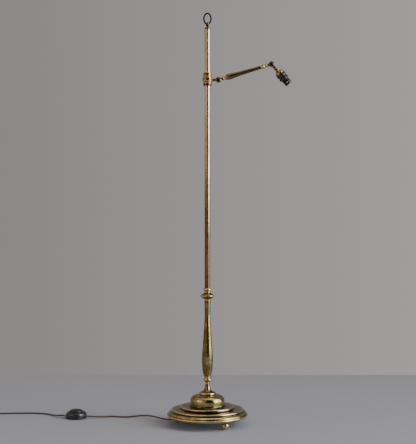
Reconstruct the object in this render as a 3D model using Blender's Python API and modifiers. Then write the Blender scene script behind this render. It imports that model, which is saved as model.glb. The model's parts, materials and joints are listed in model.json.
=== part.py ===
"""Pharmacy floor lamp: a weighted stepped base on three ball feet, a turned stem, a plain pole with a
sliding and swivelling collar, a two-knuckle arm with a bayonet lampholder, and a flex with a foot switch.

Metres, +Z up, floor at z = 0. The arm reaches towards +X and the flex leaves towards -X.
"""

import math

import bmesh
import bpy
import numpy as np
from mathutils import Matrix, Vector

GAP = 0.0003                    # clearance between neighbouring pieces
POLE_X = -0.0758                # centres the lamp's length on the origin

# Base and stem
BASE_RADIUS = 0.140
SHELL_WALL = 0.0012
FOOT_RADIUS = 0.0138
FOOT_FLAT = 0.0050
FOOT_CIRCLE = 0.110
FOOT_ANGLES = {"front": -57.0, "left": 163.0, "back": 53.0}
FOOT_SPOTS = {where: (FOOT_CIRCLE * math.cos(math.radians(angle)),
                      FOOT_CIRCLE * math.sin(math.radians(angle))) for where, angle in FOOT_ANGLES.items()}
PLATE_Z = 0.0280                # underside of the base plate
PLATE_THICK = 0.0015
DOME_TOP = 0.1025
TIE_RADIUS = 0.0050
STEM_BORE = 0.0056
TIE_BORE = 0.0033

# Pole and collar
POLE_RADIUS = 0.0098
POLE_BORE = 0.0084
POLE_Z = (0.4711, 1.3665)
SLOT_WIDTH = 0.0050
SLOT_Z = (0.488, 1.347)
COLLAR_Z = 1.1927               # middle of the swivel band
FINIAL_BALL_Z = 1.3846
RING_WIDTH, RING_HEIGHT, RING_WIRE = 0.0122, 0.0187, 0.0027     # to the middle of the wire
SLEEVE_RADIUS = 0.0121

# Arm and head
K1_REACH = 0.038                # first knuckle, out from the pole's axis
K1_Z = 1.192
ARM_LENGTH = 0.1916             # knuckle to knuckle
ARM_ANGLE = 16.4                # degrees above level
HEAD_ANGLE = -48.5
KNUCKLE_RADIUS = 0.0102
KNUCKLE_HALF = 0.0056           # thickness of each half of a knuckle
PIVOT_RADIUS = 0.0020
HANDLE_BORE = 0.0032
NIPPLE_RADIUS = 0.0047
SKIRT_RADIUS, SOCKET_RADIUS = 0.0126, 0.0114
BAYONET_TURN = 196.0
CONTACT_OFFSET = 0.0052
PLUNGER_RADIUS, PLUNGER_TIP = 0.0019, 0.0770
HEAD_LENGTH = 0.0912            # second knuckle to the lampholder's mouth

# Flex, foot switch and plug. The flex runs base, foot switch, coil, plug.
FLEX_RADIUS = 0.0029
CORE_RADIUS = 0.0021            # the flex's cores, stripped of their sheath inside the lamp
FLEX_LOW = FLEX_RADIUS + 0.0002
END_GAP = 0.0006                # between a flex's end and the piece it enters
SLEEVE_IN = Vector((-0.0890, 0.0050, 0.0335))    # strain relief in the base plate, from the pole's axis
SLEEVE_OUT = Vector((-0.1100, 0.0080, 0.0205))
SWITCH_CENTRE = Vector((-0.4679, 0.1080, 0))
SWITCH_TURN = -10.0
SWITCH_RADIUS = 0.0368
SWITCH_ENTRY_Z = 0.0085
BUTTON_RADIUS = 0.0228
BUSH_LENGTH = 0.0060
COIL_CENTRE = Vector((-0.8750, 0.1392, 0))
COIL_RADIUS = 0.0330            # to the middle of its turns
COIL_HALF = 0.0090
COIL_TOP = 0.0180
PLUG_CENTRE = Vector((-0.9138, 0.0300, 0))
PLUG_SIZE = 0.0500
PLUG_ENTRY_Z = 0.0110
PLUG_SLEEVE_Y = 0.0780          # where the plug's strain relief ends

ARM_PIVOT = Vector((POLE_X + K1_REACH, 0, K1_Z))
ARM_WAY = Vector((math.cos(math.radians(ARM_ANGLE)), 0, math.sin(math.radians(ARM_ANGLE))))
HEAD_PIVOT = ARM_PIVOT + ARM_WAY * ARM_LENGTH
HEAD_WAY = Vector((math.cos(math.radians(HEAD_ANGLE)), 0, math.sin(math.radians(HEAD_ANGLE))))

for old in list(bpy.data.objects):
    bpy.data.objects.remove(old, do_unlink=True)
LAMP = bpy.data.collections.new("pharmacy_floor_lamp")
CUTTERS = bpy.data.collections.new("cutters")
bpy.context.scene.collection.children.link(LAMP)
bpy.context.scene.collection.children.link(CUTTERS)


def material(name, colour, roughness, metallic):
    m = bpy.data.materials.new(name)
    m.use_nodes = True
    shader = m.node_tree.nodes["Principled BSDF"]
    shader.inputs["Base Color"].default_value = (*colour, 1)
    shader.inputs["Roughness"].default_value = roughness
    shader.inputs["Metallic"].default_value = metallic
    m.diffuse_color = (*colour, 1)
    return m


AGED_BRASS = material("aged_brass", (0.42, 0.29, 0.11), 0.28, 1.0)
POLE_BRASS = material("pole_brass", (0.55, 0.42, 0.26), 0.22, 1.0)
DARK_BRONZE = material("dark_bronze", (0.06, 0.055, 0.045), 0.35, 1.0)
CAST_IRON = material("cast_iron", (0.09, 0.09, 0.09), 0.7, 1.0)
STEEL = material("steel", (0.45, 0.45, 0.45), 0.4, 1.0)
CERAMIC = material("ceramic", (0.8, 0.78, 0.72), 0.3, 0.0)
BLACK_PLASTIC = material("black_plastic", (0.012, 0.013, 0.014), 0.35, 0.0)
BROWN_FLEX = material("brown_flex", (0.05, 0.033, 0.018), 0.6, 0.0)


def empty(name, spot, way=None, parent=None):
    """A joint's frame: its origin is on the joint's axis, and its local Z is upright or points along way."""
    e = bpy.data.objects.new(name, None)
    LAMP.objects.link(e)
    turn = way.to_track_quat("Z", "Y").to_matrix().to_4x4() if way else Matrix.Identity(4)
    e.matrix_world = Matrix.Translation(spot) @ turn
    if parent:
        e.parent = parent
        e.matrix_parent_inverse = parent.matrix_world.inverted()
    return e


def place(obj, skin, parent=None, collection=LAMP):
    collection.objects.link(obj)
    obj.data.materials.append(skin)
    obj.parent = parent
    return obj


def arc(cx, cz, radius, start, end, steps):
    """Points of (radius, height) round a circle of an outline, angles in degrees from +X."""
    turn = [math.radians(start + (end - start) * k / steps) for k in range(steps + 1)]
    return [(cx + radius * math.cos(t), cz + radius * math.sin(t)) for t in turn]


def smooth(points, steps):
    """A curve through the points, each span in equal steps."""
    ends = [points[0]] + list(points) + [points[-1]]
    out = []
    for a, b, c, d in zip(ends, ends[1:], ends[2:], ends[3:]):
        for k in range(steps):
            t = k / steps
            out.append(tuple(
                0.5 * (2 * q + (r - p) * t + (2 * p - 5 * q + 4 * r - s) * t * t
                       + (3 * q - p - 3 * r + s) * t ** 3)
                for p, q, r, s in zip(a, b, c, d)))
    return out + [tuple(points[-1])]


def turned(name, outer, skin, parent=None, bore=None, steps=20, collection=LAMP):
    """A turned piece: outer runs down its outside as (radius, height). bore gives a plain hole's radius,
    or the points of the inside running up."""
    inner = [(bore, outer[-1][1]), (bore, outer[0][1])] if isinstance(bore, float) else bore or []
    points = list(outer) + list(inner)
    edges = [(k, k + 1) for k in range(len(points) - 1)]
    if inner:
        edges.append((len(points) - 1, 0))
    mesh = bpy.data.meshes.new(name)
    mesh.from_pydata([(r, 0, z) for r, z in points], edges, [])
    obj = place(bpy.data.objects.new(name, mesh), skin, parent, collection)
    screw = obj.modifiers.new("turn", "SCREW")
    screw.steps = screw.render_steps = steps
    screw.use_merge_vertices = True
    screw.merge_threshold = 0.00001
    screw.use_smooth_shade = True
    return obj


def cylinder(name, radius, low, high, skin, parent=None, centre=(0, 0), sides=16, collection=LAMP,
             across=False):
    """A plain round bar along local Z, or across it along local X."""
    mesh = bpy.data.meshes.new(name)
    bm = bmesh.new()
    turn = Matrix.Rotation(math.pi / 2, 4, "Y") if across else Matrix.Identity(4)
    bmesh.ops.create_cone(bm, cap_ends=True, segments=sides, radius1=radius, radius2=radius, depth=high - low,
                          matrix=turn @ Matrix.Translation((*centre, (low + high) / 2)))
    bm.to_mesh(mesh)
    bm.free()
    mesh.shade_smooth()
    mesh.set_sharp_from_angle(angle=math.radians(35))
    return place(bpy.data.objects.new(name, mesh), skin, parent, collection)


def block(name, low, high, skin, parent=None, rounding=0.0, collection=LAMP):
    """A box between two corners, with rounded edges where asked."""
    mesh = bpy.data.meshes.new(name)
    bm = bmesh.new()
    low, high = Vector(low), Vector(high)
    bmesh.ops.create_cube(bm, size=1, matrix=Matrix.Translation((low + high) / 2)
                          @ Matrix.Diagonal((*(high - low), 1)))
    bm.to_mesh(mesh)
    bm.free()
    obj = place(bpy.data.objects.new(name, mesh), skin, parent, collection)
    if rounding:
        bevel = obj.modifiers.new("rounding", "BEVEL")
        bevel.width = rounding
        bevel.segments = 2
    return obj


def wire(name, points, radius, skin, parent=None, cyclic=False, sides=2):
    """A round wire or tube along points."""
    curve = bpy.data.curves.new(name, "CURVE")
    curve.dimensions = "3D"
    curve.bevel_depth = radius
    curve.bevel_resolution = sides
    curve.use_fill_caps = True
    curve.resolution_u = 1
    curve.render_resolution_u = 0
    spline = curve.splines.new("POLY")
    spline.points.add(len(points) - 1)
    for p, co in zip(spline.points, points):
        p.co = (*co, 1)
    spline.use_cyclic_u = cyclic
    return place(bpy.data.objects.new(name, curve), skin, parent)


def as_mesh(obj):
    """A curve object made a mesh object, its caps welded, so that a Boolean can use it."""
    bpy.context.view_layer.update()
    evaluated = obj.evaluated_get(bpy.context.evaluated_depsgraph_get())
    mesh = bpy.data.meshes.new_from_object(evaluated)
    bm = bmesh.new()
    bm.from_mesh(mesh)
    bmesh.ops.remove_doubles(bm, verts=bm.verts, dist=0.00001)
    bmesh.ops.recalc_face_normals(bm, faces=bm.faces)
    bm.to_mesh(mesh)
    bm.free()
    name, parent, world = obj.name, obj.parent, obj.matrix_world.copy()
    bpy.data.objects.remove(obj, do_unlink=True)
    made = bpy.data.objects.new(name, mesh)
    LAMP.objects.link(made)
    made.parent = parent
    made.matrix_world = world
    return made


def join(obj, tool, operation):
    """A Boolean with a tool from the cutters."""
    tool.hide_render = True
    tool.display_type = "WIRE"
    boolean = obj.modifiers.new(f"{operation.lower()}_{tool.name}", "BOOLEAN")
    boolean.operation = operation
    boolean.object = tool
    return obj


def springy(name, radius, low, high, turns, wire_radius, parent=None):
    """A compression spring along local Z, with a point every sixth of a turn."""
    count = turns * 6
    points = [(radius * math.cos(k * math.pi / 3), radius * math.sin(k * math.pi / 3),
               low + wire_radius + (high - low - 2 * wire_radius) * k / count) for k in range(count + 1)]
    return wire(name, points, wire_radius, STEEL, parent, sides=0)


# Frames of the pieces. The knuckles' frames have the pivot along local X and their own neck along local Z.
POLE = empty("pole_axis", Vector((POLE_X, 0, 0)))
SLIDER = empty("slider_frame", Vector((POLE_X, 0, COLLAR_Z)))
SWIVEL = empty("swivel_frame", Vector((POLE_X, 0, COLLAR_Z)), parent=SLIDER)
BRACKET = empty("bracket_frame", ARM_PIVOT, Vector((-1, 0, 0)), SWIVEL)
ARM = empty("arm_frame", ARM_PIVOT, ARM_WAY, SWIVEL)
ARM_TIP = empty("arm_tip_frame", HEAD_PIVOT, -ARM_WAY, ARM)
HEAD = empty("head_frame", HEAD_PIVOT, HEAD_WAY, ARM)
SWITCH = empty("switch_frame", SWITCH_CENTRE + POLE.location)
SWITCH.rotation_euler.z = math.radians(SWITCH_TURN)


# Base: a spun brass shell over a cast iron weight, closed by a steel plate, on three turned ball feet
RIM_Z = PLATE_Z + 0.0002
RIM_INSIDE = BASE_RADIUS - 0.0046
PLATE_TOP = PLATE_Z + PLATE_THICK
WEIGHT_LOW, WEIGHT_TOP = PLATE_TOP + GAP, 0.0500
WEIGHT_RADIUS = 0.1190
NUT_WELL = (0.0160, 0.0470)     # radius and height of the weight's recess for the tie nut
STUD_RADIUS = 0.0030
CORE_LOW, CORE_BEND = 0.0322, 0.0066    # height of the cores under the weight, and their bend up the tie tube


def base_shell():
    outer = [(0.0062, DOME_TOP), (0.0300, DOME_TOP)]
    outer += arc(0.0395, 0.0820, 0.0205, 75, 0, 3)
    outer += [(0.0602, 0.0690), (0.0640, 0.0640), (0.0800, 0.0638)]
    outer += arc(0.0915, 0.0612, 0.0026, 80, -30, 2)
    outer += [(0.0952, 0.0565), (0.1020, 0.0546)]
    outer += arc(0.1222, 0.0520, 0.0026, 80, -30, 2)
    outer += [(0.1264, 0.0475), (0.1318, 0.0455), (0.1372, 0.0415)]
    outer += arc(BASE_RADIUS - 0.0030, 0.0345, 0.0030, 30, -30, 2) + [(0.1366, RIM_Z)]
    inner = [(RIM_INSIDE, RIM_Z), (RIM_INSIDE, 0.0380), (0.1246, 0.0450), (0.1206, 0.0530), (0.0950, 0.0535)]
    inner += [(0.0900, 0.0622), (0.0588, 0.0625), (0.0585, 0.0850), (0.0420, DOME_TOP - 0.0048)]
    inner += [(0.0300, DOME_TOP - SHELL_WALL), (0.0062, DOME_TOP - SHELL_WALL)]
    return turned("base_shell", outer, AGED_BRASS, POLE, inner, steps=36)


def base_plate_and_weight():
    plate = turned("base_plate", [(RIM_INSIDE - 0.0010, PLATE_TOP), (RIM_INSIDE - 0.0010, PLATE_Z)], STEEL,
                   POLE,
                   NUT_WELL[0], steps=36)
    well = [(NUT_WELL[0], WEIGHT_LOW), NUT_WELL, (STEM_BORE, NUT_WELL[1]), (STEM_BORE, WEIGHT_TOP)]
    weight = turned("base_weight", [(WEIGHT_RADIUS - 0.004, WEIGHT_TOP), (WEIGHT_RADIUS, WEIGHT_TOP - 0.004),
                                    (WEIGHT_RADIUS, WEIGHT_LOW)], CAST_IRON, POLE, well, steps=24)
    for where, spot in FOOT_SPOTS.items():
        hole = cylinder(f"stud_hole_{where}", STUD_RADIUS + GAP, 0.0, 0.0420, STEEL, POLE, spot, 12, CUTTERS)
        join(plate, hole, "DIFFERENCE")
        join(weight, hole, "DIFFERENCE")
    along = SLEEVE_OUT - SLEEVE_IN
    relief = cylinder("relief_hole", 0.0056, -0.010, 0.040, STEEL, POLE, sides=14, collection=CUTTERS)
    relief.location = SLEEVE_IN
    relief.rotation_euler = along.to_track_quat("Z", "Y").to_euler()
    join(plate, relief, "DIFFERENCE")
    join(weight, relief, "DIFFERENCE")
    channel = block("flex_channel", (-0.097, -0.0035, 0.0), (-0.010, 0.0035, 0.0395), STEEL, POLE,
                    collection=CUTTERS)
    channel.rotation_euler.z = math.atan2(SLEEVE_IN.y, SLEEVE_IN.x) - math.pi
    join(weight, channel, "DIFFERENCE")


def ball_feet():
    middle = math.sqrt(FOOT_RADIUS ** 2 - FOOT_FLAT ** 2)
    flat = math.degrees(math.atan2(-middle, FOOT_FLAT))
    ball = arc(0, middle, FOOT_RADIUS, 63, flat, 5)
    outline = [(0, 0.0410), (STUD_RADIUS, 0.0410), (STUD_RADIUS, PLATE_Z - GAP), (0.0060, PLATE_Z - GAP)]
    for where, spot in FOOT_SPOTS.items():
        foot = turned(f"ball_foot_{where}", outline + ball + [(0, 0)], AGED_BRASS, POLE, steps=16)
        foot.location = (*spot, 0)


# Stem: turned brass pieces threaded on a tie tube, drawn down by a nut under the weight
def stem():
    foot = [(0.0078, 0.1450), (0.0077, 0.1400), (0.0090, 0.1300), (0.0124, 0.1205), (0.0180, 0.1150),
            (0.0245, 0.1126)]
    foot += arc(0.0258, 0.1078, 0.0037, 70, -60, 3) + [(0.0262, DOME_TOP + GAP)]
    turned("stem_foot", foot, AGED_BRASS, POLE, STEM_BORE)
    bead = [(0.0098, 0.1640)] + arc(0.0080, 0.1555, 0.0060, 65, -65, 4) + [(0.0084, 0.1453)]
    turned("stem_bead", bead, AGED_BRASS, POLE, STEM_BORE)

    vase = smooth([(0.0105, 0.4330), (0.0103, 0.4130), (0.0097, 0.3850), (0.0103, 0.3610), (0.0124, 0.3330),
                   (0.0148, 0.2924), (0.0172, 0.2620), (0.0187, 0.2360), (0.0190, 0.2180), (0.0184, 0.1990),
                   (0.0167, 0.1830), (0.0142, 0.1720)], 1) + [(0.0104, 0.1643)]
    hollow = [(0.0088, 0.1643), (0.0150, 0.1860), (0.0160, 0.2360), (0.0088, 0.3500), (0.0080, 0.4330)]
    turned("stem_baluster", vase, AGED_BRASS, POLE, hollow)

    knop = [(0.0106, 0.4600), (0.0105, 0.4572), (0.0118, 0.4545), (0.0160, 0.4520)]
    knop += arc(0.0225, 0.4448, 0.0022, 70, -70, 3) + [(0.0205, 0.4392), (0.0160, 0.4352), (0.0132, 0.4333)]
    turned("stem_knop", knop, AGED_BRASS, POLE, STEM_BORE)
    top = [(0.0108, 0.4708)] + arc(0.0101, 0.4665, 0.0043, 70, -70, 4) + [(0.0106, 0.4603)]
    turned("stem_top_bead", top, AGED_BRASS, POLE, STEM_BORE)

    turned("tie_tube", [(TIE_RADIUS, 0.4900), (TIE_RADIUS, 0.0385)], STEEL, POLE, TIE_BORE, steps=12)
    turned("tie_washer", [(0.0135, 0.0467), (0.0135, 0.0453)], STEEL, POLE, TIE_RADIUS + GAP, steps=20)
    turned("tie_nut", [(0.0098, 0.0450), (0.0098, 0.0392)], STEEL, POLE,
           (TIE_RADIUS + GAP) / math.cos(math.pi / 6),
           steps=6)


# Pole: a brass tube on an insert, with a slot down its back for the flex
def pole():
    turned("pole_insert", [(POLE_BORE - GAP, 0.4868), (POLE_BORE - GAP, POLE_Z[0])], STEEL, POLE,
           TIE_RADIUS + GAP, steps=20)
    tube = turned("pole", [(POLE_RADIUS, POLE_Z[1]), (POLE_RADIUS, POLE_Z[0])], POLE_BRASS, POLE, POLE_BORE,
                  steps=24)
    slot = block("pole_slot", (-SLOT_WIDTH / 2, 0.004, SLOT_Z[0]), (SLOT_WIDTH / 2, 0.014, SLOT_Z[1]), STEEL,
                 POLE,
                 collection=CUTTERS)
    join(tube, slot, "DIFFERENCE")


def finial():
    stem_points = [(0, FINIAL_BALL_Z + 0.0066)] + arc(0, FINIAL_BALL_Z, 0.0064, 75, -58, 4)
    stem_points += [(0.0040, 1.3765), (0.0050, 1.3738), (0.0090, 1.3726), (0.0098, 1.3705), (0.0095, 1.3668)]
    stem_points += [(POLE_BORE - GAP, 1.3668), (POLE_BORE - GAP, 1.3505), (0, 1.3505)]
    lower = turned("finial", stem_points, AGED_BRASS, POLE, steps=16)
    middle = FINIAL_BALL_Z + RING_HEIGHT
    turns = [math.tau * k / 24 for k in range(24)]
    oval = [(RING_WIDTH * math.cos(t), 0, middle + RING_HEIGHT * math.sin(t)) for t in turns]
    ring = as_mesh(wire("finial_ring", oval, RING_WIRE, AGED_BRASS, POLE, cyclic=True))
    LAMP.objects.unlink(ring)
    CUTTERS.objects.link(ring)
    join(lower, ring, "UNION")


# Collar: a sleeve that grips the pole and slides on it, two collars fixed to the sleeve, and between them the
# swivel band that carries the arm. A bush on the sleeve rides in the pole's slot and leads the flex through.
def collar():
    window = block("sleeve_window", (-SLOT_WIDTH / 2, 0.004, -0.0063), (SLOT_WIDTH / 2, 0.016, 0.0063), STEEL,
                   SLIDER, collection=CUTTERS)
    sleeve = turned("slider_sleeve", [(SLEEVE_RADIUS, 0.0243), (SLEEVE_RADIUS, -0.0215)], AGED_BRASS, SLIDER,
                    POLE_RADIUS + GAP, steps=24)
    join(sleeve, window, "DIFFERENCE")
    bush_half = SLOT_WIDTH / 2 - GAP
    block("flex_bush", (-bush_half, 0.0050, -0.0060), (bush_half, 0.0119, 0.0060), BLACK_PLASTIC, SLIDER)
    bore = SLEEVE_RADIUS + GAP
    turned("upper_collar", [(0.0128, 0.0243), (0.0138, 0.0228), (0.0142, 0.0168), (0.0138, 0.0108),
                            (0.0130, 0.0090)], AGED_BRASS, SLIDER, bore, steps=24)
    turned("lower_collar", [(0.0130, -0.0090), (0.0138, -0.0104), (0.0142, -0.0152), (0.0138, -0.0200),
                            (0.0128, -0.0215)], AGED_BRASS, SLIDER, bore, steps=24)


# Knuckles: two half discs side by side on a pivot screw. Each half is one piece with its round neck, whose
# other half is cut back to let the neighbour's disc turn.
def knuckle_half(obj, frame, side):
    """Joins a half disc to obj's neck, on the side of the frame's local X that side gives, -1 or 1."""
    low, high = sorted((side * GAP / 2, side * KNUCKLE_HALF))
    clear_low, clear_high = sorted((side * GAP / 2, -side * 0.02))
    name = obj.name
    room = cylinder(f"{name}_room", KNUCKLE_RADIUS + 0.0005, clear_low, clear_high, STEEL, frame, sides=20,
                    collection=CUTTERS, across=True)
    disc = cylinder(f"{name}_disc", KNUCKLE_RADIUS, low, high, STEEL, frame, sides=20, collection=CUTTERS,
                    across=True)
    hole = cylinder(f"{name}_hole", PIVOT_RADIUS + GAP, -0.02, 0.02, STEEL, frame, sides=12,
                    collection=CUTTERS,
                    across=True)
    join(obj, room, "DIFFERENCE")
    join(obj, disc, "UNION")
    join(obj, hole, "DIFFERENCE")
    return obj


def pivot(name, frame):
    """A pivot screw with a domed head at the front, and its nut at the back."""
    head = KNUCKLE_HALF + GAP
    outline = [(0, KNUCKLE_HALF + 0.0040), (PIVOT_RADIUS, KNUCKLE_HALF + 0.0040), (PIVOT_RADIUS, -head),
               (0.0046, -head), (0.0043, -head - 0.0012), (0.0028, -head - 0.0020), (0, -head - 0.0022)]
    screw = turned(f"{name}_screw", outline, DARK_BRONZE, frame, steps=12)
    nut = turned(f"{name}_nut", [(0.0036, head + 0.0026), (0.0046, head + 0.0018), (0.0046, head)],
                 DARK_BRONZE, frame, PIVOT_RADIUS + GAP, steps=12)
    for piece in (screw, nut):
        piece.rotation_euler.y = -math.pi / 2


def swivel_bracket():
    """The middle band, its boss and the first half of the first knuckle, cast in one."""
    band = turned("swivel_bracket", [(0.0146, 0.0085), (0.0162, 0.0072), (0.0172, 0.0040), (0.0172, -0.0042),
                                     (0.0162, -0.0074), (0.0146, -0.0087)], AGED_BRASS, SWIVEL,
                  SLEEVE_RADIUS + GAP, steps=24)
    reach = K1_REACH - 0.0140
    boss = turned("bracket_boss", [(0, reach), (0.0066, reach), (0.0062, reach - 0.0040),
                                   (0.0046, reach - 0.0075),
                                   (0.0052, KNUCKLE_RADIUS - 0.0005), (0.0050, 0.0040), (0, 0.0040)],
                  AGED_BRASS, BRACKET, steps=20, collection=CUTTERS)
    join(band, boss, "UNION")
    knuckle_half(band, BRACKET, 1)
    pivot("arm_pivot", BRACKET)


# Arm: a turned handle between two knuckle pieces, bored for the flex
def arm():
    inner = [(0.0052, 0.0238), (0.0052, 0.0205)] + arc(0.0050, 0.0178, 0.0024, 70, -70, 3)
    inner += [(0.0050, 0.0130), (0.0050, 0.0040), (0, 0.0040)]
    eye = turned("arm_eye", [(0, 0.0238)] + inner, AGED_BRASS, ARM, steps=20)
    knuckle_half(eye, ARM, 1)

    handle = [(0.0060, 0.1570)]
    handle += smooth([(0.0060, 0.1480), (0.0066, 0.1150), (0.0074, 0.0830), (0.0090, 0.0590),
                      (0.0105, 0.0430),
                      (0.0104, 0.0370), (0.0084, 0.0290)], 1)
    handle += [(0.0060, 0.0241)]
    turned("arm_handle", handle, AGED_BRASS, ARM, HANDLE_BORE, steps=20)
    turned("arm_ferrule", [(0.0062, 0.1665)] + arc(0.0057, 0.1619, 0.0029, 65, -65, 3) + [(0.0062, 0.1573)],
           AGED_BRASS, ARM, HANDLE_BORE, steps=20)
    length = ARM_LENGTH - 0.1668
    outline = [(0, length), (0.0052, length), (0.0050, length - 0.0040)]
    outline += arc(0.0048, 0.0180, 0.0022, 70, -70, 3) + [(0.0048, 0.0130), (0.0048, 0.0040), (0, 0.0040)]
    tip = turned("arm_tip", outline, AGED_BRASS, ARM_TIP, steps=20)
    knuckle_half(tip, ARM_TIP, -1)
    pivot("head_pivot", ARM_TIP)
    cores = [(0, 0, 0.0260 + 0.0120 * k) for k in range(12)]
    wire("arm_cores", cores, CORE_RADIUS, BROWN_FLEX, ARM)


# Head: the second knuckle's outer half, with a nipple that carries the bayonet lampholder
def head():
    neck = [(0, 0.0400), (NIPPLE_RADIUS, 0.0400), (NIPPLE_RADIUS, 0.0318), (0.0070, 0.0318), (0.0074, 0.0300),
            (0.0068, 0.0280), (0.0046, 0.0270), (0.0046, 0.0225), (0.0058, 0.0210), (0.0058, 0.0190),
            (0.0048, 0.0175), (0.0048, 0.0040), (0, 0.0040)]
    eye = turned("head_eye", neck, AGED_BRASS, HEAD, steps=20)
    knuckle_half(eye, HEAD, -1)

    cap = [(0.0160, 0.0455), (0.0160, 0.0420), (0.0150, 0.0385), (0.0122, 0.0350), (0.0078, 0.0332),
           (0.0074, 0.0321)]
    cap_inside = [(NIPPLE_RADIUS + GAP, 0.0321), (NIPPLE_RADIUS + GAP, 0.0345), (0.0115, 0.0360),
                  (0.0140, 0.0395), (0.0149, 0.0425), (0.0149, 0.0455)]
    turned("holder_cap", cap, AGED_BRASS, HEAD, cap_inside, steps=24)
    ring = [(0.0160, 0.0532), (0.0167, 0.0524), (0.0167, 0.0466), (0.0160, 0.0458)]
    turned("holder_ring", ring, DARK_BRONZE, HEAD, 0.0149, steps=24)

    body = [(SKIRT_RADIUS, HEAD_LENGTH), (SKIRT_RADIUS, 0.0712), (0.0138, 0.0700), (0.0138, 0.0580),
            (0.0158, 0.0574), (0.0158, 0.0535)]
    shell = turned("holder_body", body, DARK_BRONZE, HEAD, SOCKET_RADIUS, steps=24)
    for k, turn in enumerate((0, math.pi)):
        entry = block(f"bayonet_entry_{k}", (0.004, -0.0017, 0.0806), (0.020, 0.0017, 0.0950), STEEL, HEAD,
                      collection=CUTTERS)
        rest = block(f"bayonet_rest_{k}", (0.004, -0.0060, 0.0806), (0.020, 0.0000, 0.0840), STEEL, HEAD,
                     collection=CUTTERS)
        for slot in (entry, rest):
            slot.rotation_euler.z = turn + math.radians(BAYONET_TURN)
            join(shell, slot, "DIFFERENCE")
    turned("shade_ring", [(0.0160, 0.0672), (0.0170, 0.0664), (0.0170, 0.0612), (0.0160, 0.0604)],
           DARK_BRONZE,
           HEAD, 0.0141, steps=24)

    core = turned("holder_insulator", [(0, 0.0705), (SOCKET_RADIUS - GAP, 0.0705),
                                       (SOCKET_RADIUS - GAP, 0.0540),
                                       (0, 0.0540)], CERAMIC, HEAD, steps=24)
    for k, y in enumerate((-CONTACT_OFFSET, CONTACT_OFFSET)):
        well = cylinder(f"contact_well_{k}", PLUNGER_RADIUS + GAP, 0.0552, 0.0800, STEEL, HEAD, (0, y), 12,
                        CUTTERS)
        join(core, well, "DIFFERENCE")
        outline = [(0, PLUNGER_TIP), (0.0010, PLUNGER_TIP), (PLUNGER_RADIUS, PLUNGER_TIP - 0.0008),
                   (PLUNGER_RADIUS, 0.0605), (0, 0.0605)]
        plunger = turned(f"contact_plunger_{k + 1}", outline, AGED_BRASS, HEAD, steps=12)
        spring = springy(f"contact_spring_{k + 1}", 0.0014, 0.0555, 0.0602, 4, 0.0002, HEAD)
        plunger.location = spring.location = (0, y, 0)


# Flex inside the lamp: from the strain relief under the weight, up the tie tube and the pole to the slot
def inner_flex():
    along = SLEEVE_OUT - SLEEVE_IN
    out = Vector((SLEEVE_IN.x, SLEEVE_IN.y, 0)).normalized()
    start = [SLEEVE_IN - along.normalized() * back for back in (0.0006, 0.0050)]
    bend = [out * CORE_BEND * (1 - math.sin(t)) + Vector((0, 0, CORE_LOW + CORE_BEND * (1 - math.cos(t))))
            for t in (math.radians(a) for a in (0, 30, 60, 90))]
    low = start + [out * far + Vector((0, 0, CORE_LOW)) for far in (0.074, 0.040)]
    rise = [Vector((0, 0, z)) for z in (0.0600, 0.3000, 0.4700, 0.8300, COLLAR_Z)]
    wire("inner_flex", low + bend + rise, CORE_RADIUS, BROWN_FLEX, POLE, sides=1)
    sleeve = turned("flex_sleeve", [(0, along.length), (0.0036, along.length), (0.0050, 0.004), (0.0050, 0),
                                    (0, 0)], BLACK_PLASTIC, POLE, steps=14)
    sleeve.location = SLEEVE_IN
    sleeve.rotation_euler = along.to_track_quat("Z", "Y").to_euler()


# Free flex: base to foot switch, then foot switch to coil to plug, along the floor
def resampled(route, spacing):
    """Evenly spaced points on a smooth curve through route."""
    fine = np.array(smooth(route, 12))
    along = np.concatenate([[0], np.cumsum(np.linalg.norm(np.diff(fine, axis=0), axis=1))])
    even = np.linspace(0, along[-1], round(along[-1] / spacing) + 1)
    return np.stack([np.interp(even, along, fine[:, k]) for k in range(3)], axis=1).tolist()


BASE_ROUTE = [(-0.1250, 0.0118, 0.0142), (-0.1385, 0.0203, 0.0124), (-0.1580, 0.0400, 0.0118),
              (-0.1800, 0.0670, 0.0120), (-0.2030, 0.0910, 0.0116), (-0.2280, 0.1100, 0.0092),
              (-0.2587, 0.1170, 0.0058), (-0.2940, 0.1160, FLEX_LOW), (-0.3310, 0.1240, FLEX_LOW),
              (-0.3520, 0.1245, 0.0036), (-0.3740, 0.1120, 0.0052), (-0.3930, 0.1005, 0.0072)]
MAINS_ROUTE = [(-0.5350, 0.1235, 0.0072), (-0.5500, 0.1375, 0.0050), (-0.5650, 0.1570, 0.0036),
               (-0.5850, 0.1730, FLEX_LOW), (-0.6150, 0.1845, FLEX_LOW), (-0.6650, 0.1885, FLEX_LOW),
               (-0.7190, 0.1850, FLEX_LOW), (-0.7560, 0.1805, FLEX_LOW), (-0.8000, 0.1778, FLEX_LOW)]


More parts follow.
